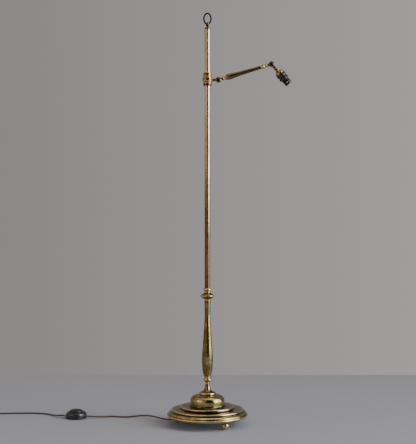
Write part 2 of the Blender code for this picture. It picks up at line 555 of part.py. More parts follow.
def free_flex():
    outward = (SLEEVE_OUT - SLEEVE_IN).normalized()
    start = [SLEEVE_OUT + outward * out for out in (END_GAP, 0.0050)]
    end = [switch_entry(out, 1) for out in (0.0090, 0.0040, END_GAP)]
    wire("flex_base", resampled(start + BASE_ROUTE + end, 0.0115), FLEX_RADIUS, BROWN_FLEX, POLE)
    outer_turn = COIL_RADIUS + 2 * FLEX_RADIUS
    meet = math.sqrt((COIL_RADIUS + COIL_HALF) ** 2 - (outer_turn - FLEX_RADIUS) ** 2) + 0.0006
    start = [switch_entry(out, -1) for out in (END_GAP, 0.0040, 0.0090)]
    end = [(COIL_CENTRE.x + meet, COIL_CENTRE.y + outer_turn, FLEX_LOW)]
    wire("flex_mains", resampled(start + MAINS_ROUTE + end, 0.0115), FLEX_RADIUS, BROWN_FLEX, POLE)
    tail_x = COIL_CENTRE.x - outer_turn
    tail = resampled([(tail_x, COIL_CENTRE.y - meet, COIL_TOP - FLEX_RADIUS), (tail_x, 0.105, 0.0135),
                      (tail_x, 0.090, 0.0115), (tail_x, PLUG_SLEEVE_Y + END_GAP, PLUG_ENTRY_Z)], 0.0100)
    wire("flex_tail", tail, FLEX_RADIUS, BROWN_FLEX, POLE)
    corner = 0.003
    far, near = COIL_RADIUS + COIL_HALF, COIL_RADIUS - COIL_HALF
    coil = turned("flex_coil", [(far - corner, COIL_TOP), (far, COIL_TOP - corner), (far, corner),
                                (far - corner, 0.0001)], BROWN_FLEX, POLE,
                  [(near + corner, 0.0001), (near, corner), (near, COIL_TOP - corner), (near + corner, COIL_TOP)],
                  steps=24)
    coil.location = COIL_CENTRE


# Foot switch: a round base and cover with a sprung button over its contact block
def switch_entry(out, side):
    """A point on the flex's line through the switch, out past its bush, from the pole's axis."""
    turn = math.radians(SWITCH_TURN)
    reach = side * (SWITCH_RADIUS + BUSH_LENGTH + GAP + out)
    return SWITCH_CENTRE + Vector((reach * math.cos(turn), reach * math.sin(turn), SWITCH_ENTRY_Z))


def foot_switch():
    turned("switch_base", [(0.0340, 0.0040), (SWITCH_RADIUS - 0.0003, 0.0036),
                           (SWITCH_RADIUS - 0.0003, 0.0010),
                           (SWITCH_RADIUS - 0.0015, 0.0000)], BLACK_PLASTIC, SWITCH, 0.0030, steps=24)
    cover = [(BUTTON_RADIUS + 0.0005, 0.0236), (0.0268, 0.0244), (0.0318, 0.0226), (0.0352, 0.0188),
             (SWITCH_RADIUS, 0.0140), (SWITCH_RADIUS, 0.0043)]
    inside = [(SWITCH_RADIUS - 0.0020, 0.0043), (SWITCH_RADIUS - 0.0020, 0.0136), (0.0334, 0.0176),
              (0.0306, 0.0206), (0.0266, 0.0222), (BUTTON_RADIUS + 0.0005, 0.0214)]
    turned("switch_cover", cover, BLACK_PLASTIC, SWITCH, inside, steps=24)
    button = [(0, 0.0326), (0.0150, 0.0321), (0.0206, 0.0302), (BUTTON_RADIUS, 0.0276),
              (BUTTON_RADIUS, 0.0205),
              (0.0050, 0.0205), (0.0050, 0.0150), (0, 0.0150)]
    turned("switch_button", button, BLACK_PLASTIC, SWITCH, steps=24)
    block("switch_contacts", (-0.0110, -0.0080, 0.0043), (0.0110, 0.0080, 0.0110), BLACK_PLASTIC, SWITCH,
          0.001)
    springy("switch_spring", 0.0066, 0.0113, 0.0202, 4, 0.0005, SWITCH)
    for side, where in ((1, "near"), (-1, "far")):
        bush = turned(f"switch_bush_{where}", [(0, BUSH_LENGTH), (0.0034, BUSH_LENGTH), (0.0042, 0.0010),
                                               (0.0042, 0), (0, 0)], AGED_BRASS, SWITCH, steps=14)
        bush.location = (side * (SWITCH_RADIUS + GAP), 0, SWITCH_ENTRY_Z)
        bush.rotation_euler.y = side * math.pi / 2


# Plug: a square-pinned plug lying on its cover, pins up, beside the coil
def plug():
    half = PLUG_SIZE / 2
    x, y, _ = PLUG_CENTRE
    block("plug_cover", (x - half, y - half, 0.0001), (x + half, y + half, 0.0108), BLACK_PLASTIC, POLE,
          0.003)
    block("plug_base", (x - half, y - half, 0.0111), (x + half, y + half, 0.0220), BLACK_PLASTIC, POLE,
          0.0025)
    pins = {"earth": (0, -0.0095, 0.0020, 0.0040, 0.0227), "live": (-0.0110, 0.0128, 0.0032, 0.0020, 0.0177),
            "neutral": (0.0110, 0.0128, 0.0032, 0.0020, 0.0177)}
    for pin, (px, py, wide, deep, tall) in pins.items():
        block(f"plug_pin_{pin}", (x + px - wide, y + py - deep, 0.0223), (x + px + wide, y + py + deep,
                                                                         0.0223 + tall), AGED_BRASS, POLE, 0.0006)
    length = PLUG_SLEEVE_Y - (y + half + GAP)
    sleeve = turned("plug_sleeve", [(0, length), (0.0036, length), (0.0056, 0.004), (0.0056, 0), (0, 0)],
                    BLACK_PLASTIC, POLE, steps=14)
    sleeve.location = (x, y + half + GAP, PLUG_ENTRY_Z)
    sleeve.rotation_euler.x = -math.pi / 2


base_shell()
base_plate_and_weight()
ball_feet()
stem()
pole()
finial()
collar()
swivel_bracket()
arm()
head()
inner_flex()
free_flex()
foot_switch()
plug()
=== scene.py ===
import json
import math

import bmesh
import bpy
import numpy as np
from mathutils import Matrix, Vector


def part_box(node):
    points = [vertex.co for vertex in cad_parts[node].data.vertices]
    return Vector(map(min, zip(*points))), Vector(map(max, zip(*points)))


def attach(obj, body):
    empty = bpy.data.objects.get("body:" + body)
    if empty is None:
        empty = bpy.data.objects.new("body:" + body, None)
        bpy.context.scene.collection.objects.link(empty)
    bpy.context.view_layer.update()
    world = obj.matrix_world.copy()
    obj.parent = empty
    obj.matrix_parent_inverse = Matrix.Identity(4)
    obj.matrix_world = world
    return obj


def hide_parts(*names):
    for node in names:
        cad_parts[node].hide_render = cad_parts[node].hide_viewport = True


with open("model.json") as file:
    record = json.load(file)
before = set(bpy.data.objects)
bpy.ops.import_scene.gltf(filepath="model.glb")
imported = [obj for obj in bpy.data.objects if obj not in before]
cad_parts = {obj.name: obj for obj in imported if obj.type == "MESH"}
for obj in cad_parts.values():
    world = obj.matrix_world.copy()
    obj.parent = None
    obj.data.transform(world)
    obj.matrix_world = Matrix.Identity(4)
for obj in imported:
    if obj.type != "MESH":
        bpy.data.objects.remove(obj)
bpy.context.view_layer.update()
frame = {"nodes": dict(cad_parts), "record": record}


# Studio: a plain pale floor, a large soft window-like panel at the right, a warm one at the left with
# the darker room between them, and the camera a little above the middle of the lamp, looking level.
def linear(hex_colour):
    """sRGB hex to linear RGBA."""
    srgb = [int(hex_colour[k:k + 2], 16) / 255 for k in (1, 3, 5)]
    return (*[c / 12.92 if c <= 0.04045 else ((c + 0.055) / 1.055) ** 2.4 for c in srgb], 1.0)


def give(node, **sockets):
    """Gives sockets, named or numbered as _0, a value, another socket, or another node's first output."""
    for key, value in sockets.items():
        socket = node.inputs[int(key[1:])] if key[0] == "_" else node.inputs[key.replace("_", " ")]
        if isinstance(value, bpy.types.Node):
            value = value.outputs[0]
        if isinstance(value, bpy.types.NodeSocket):
            node.id_data.links.new(value, socket)
        else:
            socket.default_value = value


def add(tree, kind, settings=None, **sockets):
    """Adds a node to a tree, with its settings and what its sockets are given."""
    made = tree.nodes.new(kind)
    for key, value in (settings or {}).items():
        setattr(made, key, value)
    give(made, **sockets)
    return made


def new_finish(name):
    """An empty material, its tree and its shader."""
    made = bpy.data.materials.new(name)
    made.use_nodes = True
    return made, made.node_tree, made.node_tree.nodes["Principled BSDF"]


pole_low, pole_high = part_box("pole")
pole_x = (pole_low.x + pole_high.x) / 2

camera = bpy.data.objects.new("camera", bpy.data.cameras.new("camera"))
bpy.context.scene.collection.objects.link(camera)
camera.location = (pole_x + 0.002, -3.5, 0.70)
camera.rotation_euler = (math.radians(90), 0, 0)
camera.data.lens = 82
camera.data.sensor_width = 36
bpy.context.scene.camera = camera

floor_paint, tree, shader = new_finish("matt_floor_paint")
grit = add(tree, "ShaderNodeTexNoise", Scale=900.0, Detail=2.0)
give(shader, Base_Color=linear("#9C9EA3"),
     Roughness=add(tree, "ShaderNodeMapRange", Value=grit, To_Min=0.55, To_Max=0.70))
FLOOR_SIDE, FLOOR_FRONT, FLOOR_BACK = 4.0, -4.5, 1.13
corners = [(-FLOOR_SIDE, FLOOR_FRONT, 0), (FLOOR_SIDE, FLOOR_FRONT, 0), (FLOOR_SIDE, FLOOR_BACK, 0),
           (-FLOOR_SIDE, FLOOR_BACK, 0)]
floor = bpy.data.objects.new("floor", bpy.data.meshes.new("floor"))
floor.data.from_pydata(corners, [], [(0, 1, 2, 3)])
floor.data.materials.append(floor_paint)
bpy.context.scene.collection.objects.link(floor)


def panel(name, spot, aim, size, colour, watts):
    """A rectangular soft light at spot, facing aim."""
    lamp = bpy.data.lights.new(name, "AREA")
    lamp.shape, lamp.size, lamp.size_y = "RECTANGLE", *size
    lamp.color, lamp.energy = linear(colour)[:3], watts
    light = bpy.data.objects.new(name, lamp)
    light.location = spot
    light.rotation_euler = (Vector(aim) - Vector(spot)).to_track_quat("-Z", "Y").to_euler()
    bpy.context.scene.collection.objects.link(light)
    return light


panel("window_panel", (2.6, -1.3, 1.3), (0, 0, 0.6), (1.3, 2.0), "#F1F4FF", 44)
panel("warm_panel", (-2.7, -1.7, 1.5), (0, 0, 0.5), (2.0, 1.8), "#FFE9DC", 10)
panel("ceiling_panel", (0.2, -0.4, 3.2), (0, 0, 0), (2.6, 2.2), "#FFF8F0", 16)
front_fill = panel("front_fill", (0.0, -3.3, 0.55), (0, 0, 0.1), (4.0, 1.0), "#F4F6FF", 62)
front_fill.visible_glossy = False       # it lights the floor under the base without showing in the brass

# The room round the lamp, by the bearing from it: a tall window at the right, a pinkish plaster wall at the
# left, the dark end of the room between them behind the camera, and the grey wall at the back.
world = bpy.data.worlds.new("room")
bpy.context.scene.world = world
world.use_nodes = True
tree = world.node_tree
WALL_SHADED_LEFT, WALL_LIT_RIGHT = "#8C8A87", "#ABA7A4"           # the back wall as the camera sees it, with painted light: shaded at the left of the view, lit at the right towards the window
WALL_LIGHT, WALL_PINK, ROOM_DARK, WINDOW = "#7C7874", "#B09C92", "#29251F", "#F4F7FF"
DARK_FROM, DARK_TO, WINDOW_TO, PINK_FROM, WINDOW_STRENGTH = -12, 46, 104, -136, 4.2
way = add(tree, "ShaderNodeSeparateXYZ", Vector=add(tree, "ShaderNodeTexCoord").outputs["Generated"])
front = add(tree, "ShaderNodeMath", {"operation": "MULTIPLY"}, _0=way.outputs["Y"], _1=-1.0)
bearing = add(tree, "ShaderNodeMath", {"operation": "ARCTAN2"}, _0=way.outputs["X"], _1=front)
share = add(tree, "ShaderNodeMapRange", Value=bearing, From_Min=-math.pi, From_Max=math.pi)
SOFT_EDGE, BLACK, WHITE = 5, (0, 0, 0, 1), (1, 1, 1, 1)


def by_bearing(bearings, colours):
    """A ramp round the room that passes from each colour to the next over a soft edge at each bearing."""
    made = add(tree, "ShaderNodeValToRGB", Fac=share)
    ramp = made.color_ramp
    ramp.elements[0].color, ramp.elements[1].color = colours[0], colours[-1]
    for degrees, before, after in zip(bearings, colours, colours[1:]):
        ramp.elements.new((degrees - SOFT_EDGE + 180) / 360).color = before
        ramp.elements.new((degrees + SOFT_EDGE + 180) / 360).color = after
    return made


walls = by_bearing((PINK_FROM, DARK_FROM, DARK_TO, WINDOW_TO),
                   [linear(colour) for colour in (WALL_LIGHT, WALL_PINK, ROOM_DARK, WINDOW, WALL_LIGHT)])
lit = by_bearing((DARK_TO, WINDOW_TO), (BLACK, WHITE, BLACK))
low_part = add(tree, "ShaderNodeMapRange", Value=way.outputs["Z"], From_Min=0.85, From_Max=0.55)
window = add(tree, "ShaderNodeMath", {"operation": "MULTIPLY"}, _0=lit, _1=low_part)
strength = add(tree, "ShaderNodeMath", {"operation": "MULTIPLY_ADD"}, _0=window, _1=WINDOW_STRENGTH - 1,
               _2=1.0)
straight = add(tree, "ShaderNodeLightPath").outputs["Is Camera Ray"]
# Painted light on the backdrop: the back wall seen by the camera goes from shaded at the left to lit at the
# right.
painted_light_across = add(tree, "ShaderNodeMapRange", Value=way.outputs["X"], From_Min=-0.21, From_Max=0.21)
wall_with_painted_light = add(tree, "ShaderNodeMix", {"data_type": "RGBA"}, Factor=painted_light_across, _6=linear(WALL_SHADED_LEFT),
                _7=linear(WALL_LIT_RIGHT))
seen = add(tree, "ShaderNodeMix", {"data_type": "RGBA"}, Factor=straight, _6=walls, _7=wall_with_painted_light.outputs[2])
brightness = add(tree, "ShaderNodeMix", {"data_type": "FLOAT"}, Factor=straight, _2=strength, _3=1.0)
give(tree.nodes["Background"], Color=seen.outputs[2], Strength=brightness)


# Flex: round two-core sheathed flex in a woven brown cover, 5.8 mm across. It comes out from under the base,
# lies in easy curves to the foot switch, and runs on beyond it to a tied coil and the plug.
def sized(tree, name, kind, value):
    """A named input of a node group, with its default."""
    socket = tree.interface.new_socket(name, in_out="INPUT", socket_type=kind)
    if value is not None:
        socket.default_value = value
    return socket


def new_tree(name):
    """A geometry tree with its ends, which a modifier can use."""
    made = bpy.data.node_groups.new(name, "GeometryNodeTree")
    made.interface.new_socket("Geometry", in_out="INPUT", socket_type="NodeSocketGeometry")
    made.interface.new_socket("Geometry", in_out="OUTPUT", socket_type="NodeSocketGeometry")
    return made


def close_tree(made, geometry, material):
    """Ends a tree: real geometry, its finish, out."""
    real = add(made, "GeometryNodeRealizeInstances", Geometry=geometry)
    skin = add(made, "GeometryNodeSetMaterial", Geometry=real, Material=material)
    add(made, "NodeGroupOutput", _0=skin)


def grown(name, tree, base, values):
    """A plain mesh object from a tree that is run on a base mesh with these input values."""
    source = bpy.data.objects.new(name, base)
    bpy.context.scene.collection.objects.link(source)
    modifier = source.modifiers.new(tree.name, "NODES")
    modifier.node_group = tree
    for item in tree.interface.items_tree:
        if item.item_type == "SOCKET" and item.in_out == "INPUT" and item.name in values:
            modifier[item.identifier] = values[item.name]
    mesh = bpy.data.meshes.new_from_object(source.evaluated_get(bpy.context.evaluated_depsgraph_get()))
    source.modifiers.clear()
    source.data = mesh
    mesh.name = name
    tidy = bmesh.new()
    tidy.from_mesh(mesh)
    bmesh.ops.remove_doubles(tidy, verts=tidy.verts, dist=1e-6)
    bmesh.ops.recalc_face_normals(tidy, faces=tidy.faces)
    tidy.to_mesh(mesh)
    tidy.free()
    return source


def line_mesh(name, points, closed=False, **values):
    """Points joined in a line, with float values stored on them."""
    mesh = bpy.data.meshes.new(name)
    edges = [(k, k + 1) for k in range(len(points) - 1)] + ([(len(points) - 1, 0)] if closed else [])
    mesh.from_pydata([tuple(p) for p in points], edges, [])
    for key, row in values.items():
        mesh.attributes.new(key, "FLOAT", "POINT").data.foreach_set("value", np.asarray(row, np.float32))
    return mesh


def flowing(points, steps):
    """A smooth curve through points, with steps points for each span."""
    p = np.array([tuple(q) for q in points], float)
    p = np.vstack([2 * p[0] - p[1], p, 2 * p[-1] - p[-2]])
    out = []
    for a, b, c, d in zip(p, p[1:], p[2:], p[3:]):
        for t in np.arange(steps) / steps:
            out.append(0.5 * (2 * b + (c - a) * t + (2 * a - 5 * b + 4 * c - d) * t * t
                              + (3 * b - a - 3 * c + d) * t ** 3))
    return np.array(out + [p[-2]])


def spaced(points, spacing):
    """Evenly spaced points along a line."""
    points = np.array(points, float)
    along = np.concatenate([[0], np.cumsum(np.linalg.norm(np.diff(points, axis=0), axis=1))])
    even = np.linspace(0, along[-1], round(along[-1] / spacing) + 1)
    return np.stack([np.interp(even, along, points[:, k]) for k in range(3)], axis=1)


# A round section swept along a line. It leaves "round" on the surface: cosine and sine of the way round the
# section, and the distance along the line.
tube_tree = new_tree("swept_tube")
sized(tube_tree, "Radius", "NodeSocketFloat", 0.003)
sized(tube_tree, "Sides", "NodeSocketInt", 16)
sized(tube_tree, "Finish", "NodeSocketMaterial", None)
given = add(tube_tree, "NodeGroupInput")
path = add(tube_tree, "GeometryNodeMeshToCurve", Mesh=given.outputs["Geometry"])
run = add(tube_tree, "GeometryNodeSplineParameter")
path = add(tube_tree, "GeometryNodeStoreNamedAttribute", {"data_type": "FLOAT", "domain": "POINT"},
           Geometry=path, Name="along", Value=run.outputs["Length"])
ring = add(tube_tree, "GeometryNodeCurvePrimitiveCircle", Resolution=given.outputs["Sides"],
           Radius=given.outputs["Radius"])
spot = add(tube_tree, "GeometryNodeInputPosition")
unit = add(tube_tree, "ShaderNodeVectorMath", {"operation": "NORMALIZE"}, _0=spot)
ring = add(tube_tree, "GeometryNodeStoreNamedAttribute", {"data_type": "FLOAT_VECTOR", "domain": "POINT"},
           Geometry=ring, Name="round", Value=unit)
swept = add(tube_tree, "GeometryNodeCurveToMesh", Curve=path, Profile_Curve=ring,
            Fill_Caps=True)
close_tree(tube_tree, add(tube_tree, "GeometryNodeSetShadeSmooth", Geometry=swept),
           given.outputs["Finish"])

# Woven cover: dull dyed cotton threads in two opposing spirals, about 0.7 mm apart, drawn a little coarse,
# with lighter flecks where the thread tops are rubbed.
woven_flex, tree, shader = new_finish("woven_brown_flex")
THREADS, LAY = 10, 312.0        # spirals each way, and the radians that each turns in a metre of flex
around = add(tree, "ShaderNodeSeparateXYZ",
             Vector=add(tree, "ShaderNodeAttribute", {"attribute_name": "round"}).outputs["Vector"])
angle = add(tree, "ShaderNodeMath", {"operation": "ARCTAN2"}, _0=around.outputs["Y"], _1=around.outputs["X"])
turns = add(tree, "ShaderNodeMath", {"operation": "MULTIPLY"}, _0=angle, _1=float(THREADS))
far = add(tree, "ShaderNodeMath", {"operation": "MULTIPLY"},
          _0=add(tree, "ShaderNodeAttribute", {"attribute_name": "along"}).outputs["Fac"], _1=THREADS * LAY)
spirals = []
for operation in ("ADD", "SUBTRACT"):
    phase = add(tree, "ShaderNodeMath", {"operation": operation}, _0=turns, _1=far)
    spirals.append(add(tree, "ShaderNodeMath", {"operation": "SINE"}, _0=phase))
weave = add(tree, "ShaderNodeMath", {"operation": "MULTIPLY"}, _0=spirals[0], _1=spirals[1])
height = add(tree, "ShaderNodeMapRange", Value=weave, From_Min=-1.0, From_Max=1.0)
object_space = add(tree, "ShaderNodeTexCoord").outputs["Object"]
fleck = add(tree, "ShaderNodeTexNoise", Vector=object_space, Scale=260.0, Detail=4.0)
mottle = add(tree, "ShaderNodeMath", {"operation": "MULTIPLY"}, _0=height, _1=fleck)
dye = add(tree, "ShaderNodeValToRGB", Fac=mottle)
dye.color_ramp.elements[0].color, dye.color_ramp.elements[1].color = linear("#1B130D"), linear("#54402C")
dye.color_ramp.elements[1].position = 0.62
threads = add(tree, "ShaderNodeBump", Height=height, Strength=0.5, Distance=0.0003)
give(shader, Base_Color=dye, Normal=threads, Roughness=0.62, Sheen_Weight=0.25, Sheen_Roughness=0.5)

FLEX_RADIUS = 0.0029
FLEX_LOW = FLEX_RADIUS + 0.0002         # height of its middle where it lies on the floor
END_GAP = 0.0006
SLEEVE_IN, SLEEVE_OUT = Vector((-0.0890, 0.0050, 0.0335)), Vector((-0.1100, 0.0080, 0.0205))
SWITCH_CENTRE, SWITCH_TURN = Vector((-0.4679, 0.1080, 0)), math.radians(-10)
SWITCH_RADIUS, SWITCH_ENTRY_Z, BUSH_LENGTH = 0.0368, 0.0085, 0.0060
COIL_CENTRE, COIL_RADIUS, PITCH = Vector((-0.8750, 0.1392, 0)), 0.0330, 0.0059
PLUG_SLEEVE_Y, PLUG_ENTRY_Z = 0.0780, 0.0110
at_pole = Vector((pole_x, 0, 0))


def switch_entry(out, side):
    """A point on the flex's line through the switch, out past its bush."""
    reach = side * (SWITCH_RADIUS + BUSH_LENGTH + 0.0003 + out)
    return SWITCH_CENTRE + Vector((reach * math.cos(SWITCH_TURN), reach * math.sin(SWITCH_TURN),
                                   SWITCH_ENTRY_Z))


outward = (SLEEVE_OUT - SLEEVE_IN).normalized()
base_route = [SLEEVE_OUT + outward * out for out in (END_GAP, 0.0050)]
base_route += [(-0.1250, 0.0118, 0.0142), (-0.1385, 0.0203, 0.0124), (-0.1580, 0.0400, 0.0118),
               (-0.1800, 0.0670, 0.0120), (-0.2030, 0.0910, 0.0116), (-0.2280, 0.1100, 0.0092),
               (-0.2587, 0.1170, 0.0058), (-0.2940, 0.1160, FLEX_LOW), (-0.3310, 0.1240, FLEX_LOW),
               (-0.3520, 0.1245, 0.0036), (-0.3740, 0.1120, 0.0052), (-0.3930, 0.1005, 0.0072)]
base_route += [switch_entry(out, 1) for out in (0.0090, 0.0040, END_GAP)]
mains_route = [switch_entry(out, -1) for out in (END_GAP, 0.0040, 0.0090)]
mains_route += [(-0.5350, 0.1235, 0.0072), (-0.5500, 0.1375, 0.0050), (-0.5650, 0.1570, 0.0036),
                (-0.5850, 0.1730, FLEX_LOW), (-0.6150, 0.1845, FLEX_LOW), (-0.6650, 0.1885, FLEX_LOW),
                (-0.7190, 0.1850, FLEX_LOW), (-0.7560, 0.1805, FLEX_LOW), (-0.8000, 0.1778, FLEX_LOW)]

# The coil is wound in three columns of three turns. Each turn lies in one cell, given as its column out from
# the middle and its layer up from the floor, and crosses to the next cell no later than the turn before it.
CELLS = [(2, 0), (1, 0), (0, 0), (0, 1), (0, 2), (1, 2), (1, 1), (2, 1), (2, 2)]
CROSSINGS = [0.70, 0.70, 0.61, 0.61, 0.53, 0.45, 0.37, 0.29]    # where in each turn the crossing starts
CROSSING_WIDTH, COIL_TURNS, POINTS_A_TURN = 0.30, 8.25, 36
coil_points = []
for step in range(1, round(COIL_TURNS * POINTS_A_TURN)):
    wound = step / POINTS_A_TURN
    cell = np.array(CELLS[0], float)
    for k, start in enumerate(CROSSINGS):
        share = min(max((wound - k - start) / CROSSING_WIDTH, 0), 1)
        cell += (np.array(CELLS[k + 1]) - np.array(CELLS[k])) * share * share * (3 - 2 * share)
    radius, turned_by = COIL_RADIUS + (cell[0] - 1) * PITCH, math.tau * (wound + 0.25)
    coil_points.append(COIL_CENTRE + Vector((radius * math.cos(turned_by), radius * math.sin(turned_by),
                                             FLEX_LOW + cell[1] * PITCH)))
tail_x = COIL_CENTRE.x - COIL_RADIUS - PITCH
tail = [(tail_x, COIL_CENTRE.y, FLEX_LOW + 2 * PITCH), (tail_x, 0.1230, 0.0144), (tail_x, 0.1050, 0.0133),
        (tail_x, 0.0900, 0.0117), (tail_x, PLUG_SLEEVE_Y + END_GAP, PLUG_ENTRY_Z)]
base_path = spaced(flowing(base_route, 12), 0.004) + np.array(at_pole)
coil_start = COIL_CENTRE + Vector((0.0, COIL_RADIUS + PITCH, FLEX_LOW))
mains_path = np.vstack([spaced(flowing(mains_route + [coil_start], 12), 0.004)[:-1],
                        flowing(coil_points + tail, 2)])
mains_path += np.array(at_pole)

flexes = []
for name, path_points in (("flex_to_switch", base_path), ("mains_flex", mains_path)):
    flexes.append(grown(name, tube_tree, line_mesh(name, path_points),
                        {"Radius": FLEX_RADIUS, "Sides": 20, "Finish": woven_flex}))
    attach(flexes[-1], "root")
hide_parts("flex_base")
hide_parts("flex_mains", "flex_coil", "flex_tail")

# Base: a spun brass shell with three rolled lips and a dome, aged and lacquered long ago, so it is bright
# on its crests and dark in its quirks. A plated steel plate closes it over a cast iron weight.
SPINDLE = 0.001         # radius of the circle that an outline is swept round, taken off its own radii


def eased(points, radius, steps=5):
    """An outline of (radius, height) points with its corners rounded, and short runs beside each corner."""
    p = [Vector(q) for q in points]
    out = [p[0]]
    for before, corner, after in zip(p, p[1:], p[2:]):
        cut = min(radius, 0.45 * (before - corner).length, 0.45 * (after - corner).length)
        start = corner + (before - corner).normalized() * cut
        end = corner + (after - corner).normalized() * cut
        out.append(start + (before - start) * 0.12)
        for k in range(steps + 1):
            t = k / steps
            out.append(start * (1 - t) ** 2 + corner * 2 * t * (1 - t) + end * t * t)
        out.append(end + (after - end) * 0.12)
    return [tuple(q) for q in out + [p[-1]]]


def arc(radius_at, height_at, radius, start, end, steps=12):
    """Part of a circle of an outline, its angles in degrees from straight outwards."""
    turn = [math.radians(start + (end - start) * k / steps) for k in range(steps + 1)]
    return [(radius_at + radius * math.cos(t), height_at + radius * math.sin(t)) for t in turn]


def hollows(points, reach=0.0025):
    """For each point of an outline that runs down the outer side: above 0 in a hollow, below 0 on a crest."""
    p = np.array(points)
    steps = np.diff(p, axis=0)
    lengths = np.maximum(np.linalg.norm(steps, axis=1), 1e-9)
    ways = steps / lengths[:, None]
    bends = np.zeros(len(p))
    bends[1:-1] = np.arcsin(np.clip(ways[:-1, 0] * ways[1:, 1] - ways[:-1, 1] * ways[1:, 0], -1, 1))
    along = np.concatenate([[0], np.cumsum(lengths)])
    near = np.exp(-0.5 * ((along[:, None] - along[None, :]) / reach) ** 2)
    return np.clip(near @ bends, -1, 1), along


lathe_tree = new_tree("turned_on_lathe")
sized(lathe_tree, "Segments", "NodeSocketInt", 96)
sized(lathe_tree, "Finish", "NodeSocketMaterial", None)
given = add(lathe_tree, "NodeGroupInput")
outline_curve = add(lathe_tree, "GeometryNodeMeshToCurve", Mesh=given.outputs["Geometry"])
circle = add(lathe_tree, "GeometryNodeCurvePrimitiveCircle", Resolution=given.outputs["Segments"],
             Radius=SPINDLE)
swept = add(lathe_tree, "GeometryNodeCurveToMesh", Curve=circle, Profile_Curve=outline_curve)
merged = add(lathe_tree, "GeometryNodeMergeByDistance", Geometry=swept, Distance=2e-6)
close_tree(lathe_tree, add(lathe_tree, "GeometryNodeSetShadeSmooth", Geometry=merged),
           given.outputs["Finish"])


def upright(x=pole_x, y=0.0, z=0.0):
    return Matrix.Translation((x, y, z))


def turned(name, outline, finish, frame_at, segments=64, inside=()):
    """A turned piece from its outline, down the outer side, and back up inside if it is bored."""
    points = list(outline) + list(inside)
    groove, along = hollows(points)
    drawn = [(r - SPINDLE, -z, 0.0) for r, z in points]
    made = grown(name, lathe_tree, line_mesh(name, drawn, closed=bool(inside), groove=groove, along=along),
                 {"Segments": segments, "Finish": finish})
    made.data.transform(frame_at)
    return made


def settle(piece, body, slot, *nodes):
    """A finished piece rides on its body and stands for these CAD nodes; its slot is not used."""
    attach(piece, body)
    if nodes:
        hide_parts(*nodes)
    return piece


def repaint(finish, *nodes):
    """Carried-over CAD nodes take this finish."""
    for node in nodes:
        for slot in frame["nodes"][node].material_slots:
            slot.material = finish


def aged_brass(name, bright, dull, dark, tarnish, gloss, lacquer):
    """Brass darkened by age: clouds of tarnish some 30 mm across, pits and spots near 2 mm, dark hollows,
    rubbed crests and faint turning lines along the outline. tarnish shifts the whole towards dark."""
    made, tree, shader = new_finish(name)
    space = add(tree, "ShaderNodeTexCoord").outputs["Object"]
    clouds = add(tree, "ShaderNodeTexNoise", Vector=space, Scale=34.0, Detail=6.0, Roughness=0.62)
    spots = add(tree, "ShaderNodeTexNoise", Vector=space, Scale=480.0, Detail=3.0, Roughness=0.55)
    spotted = add(tree, "ShaderNodeMapRange", Value=spots, From_Min=0.52, From_Max=0.72)
    groove = add(tree, "ShaderNodeAttribute", {"attribute_name": "groove"}).outputs["Fac"]
    settled = add(tree, "ShaderNodeMath", {"operation": "MULTIPLY_ADD"}, _0=groove, _1=0.34,
                  _2=clouds)
    spotty = add(tree, "ShaderNodeMath", {"operation": "MULTIPLY_ADD"}, _0=spotted, _1=0.22,
                 _2=settled)
    age = add(tree, "ShaderNodeMath", {"operation": "ADD", "use_clamp": True}, _0=spotty, _1=tarnish)
    tone = add(tree, "ShaderNodeValToRGB", Fac=age)
    ramp = tone.color_ramp
    ramp.elements[0].position, ramp.elements[0].color = 0.30, linear(bright)
    ramp.elements[1].position, ramp.elements[1].color = 0.95, linear(dark)
    ramp.elements.new(0.58).color = linear(dull)
    rough = add(tree, "ShaderNodeMapRange", Value=age, From_Min=0.3, From_Max=0.95, To_Min=gloss,
                To_Max=gloss + 0.26)
    lines = add(tree, "ShaderNodeTexNoise", {"noise_dimensions": "1D"}, Detail=2.0, Scale=1.0,
                W=add(tree, "ShaderNodeMath", {"operation": "MULTIPLY"},
                      _0=add(tree, "ShaderNodeAttribute", {"attribute_name": "along"}).outputs["Fac"],
                      _1=1400.0))
    dents = add(tree, "ShaderNodeBump", Height=clouds, Strength=0.10, Distance=0.0020)
    pits = add(tree, "ShaderNodeBump", Height=spotted, Strength=0.12, Distance=0.0002,
               Normal=dents.outputs["Normal"])
    turning = add(tree, "ShaderNodeBump", Height=lines, Strength=0.10, Distance=0.00006,
                  Normal=pits.outputs["Normal"])
    give(shader, Base_Color=tone, Roughness=rough, Normal=turning, Metallic=1.0, Coat_Weight=lacquer,
         Coat_Roughness=0.10)
    return made


base_brass = aged_brass("aged_spun_brass", "#DAC58E", "#8A7A40", "#241D0D", 0.05, 0.08, 0.35)

dome_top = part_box("base_shell")[1].z
outline = eased([(0.0062, dome_top), (0.0330, dome_top), (0.0392, 0.1017)], 0.004)[:-1]
outline += arc(0.0392, 0.0815, 0.0205, 82, 6, 18)
outline += eased([(0.0598, 0.0790), (0.0603, 0.0690), (0.0622, 0.0650), (0.0660, 0.0641), (0.0800, 0.0640)],
                 0.0022)
outline += eased([(0.0848, 0.0638), (0.0900, 0.0646)], 0.001) + arc(0.0912, 0.0616, 0.0030, 84, -58, 12)
outline += eased([(0.0922, 0.0584), (0.0944, 0.0566), (0.0990, 0.0556), (0.1080, 0.0550), (0.1180, 0.0546)],
                 0.002)
outline += arc(0.1218, 0.0518, 0.0031, 84, -58, 12)
outline += eased([(0.1229, 0.0484), (0.1262, 0.0472), (0.1318, 0.0455), (0.1352, 0.0424), (0.1364, 0.0384),
                  (0.1366, 0.0380)], 0.005)
outline += arc(0.1368, 0.0345, 0.0032, 84, -84, 14) + [(0.1366, 0.0282)]
under = eased([(0.1356, 0.0282), (0.1354, 0.0380), (0.1246, 0.0445), (0.1206, 0.0530), (0.0950, 0.0535),
               (0.0900, 0.0622), (0.0588, 0.0625), (0.0582, 0.0850), (0.0420, 0.0977), (0.0300, 0.1013),
               (0.0062, 0.1013)], 0.002, 3)
settle(turned("base_shell_spun", outline, base_brass, upright(), 160, under), "root", "aged_brass",
       "base_shell")


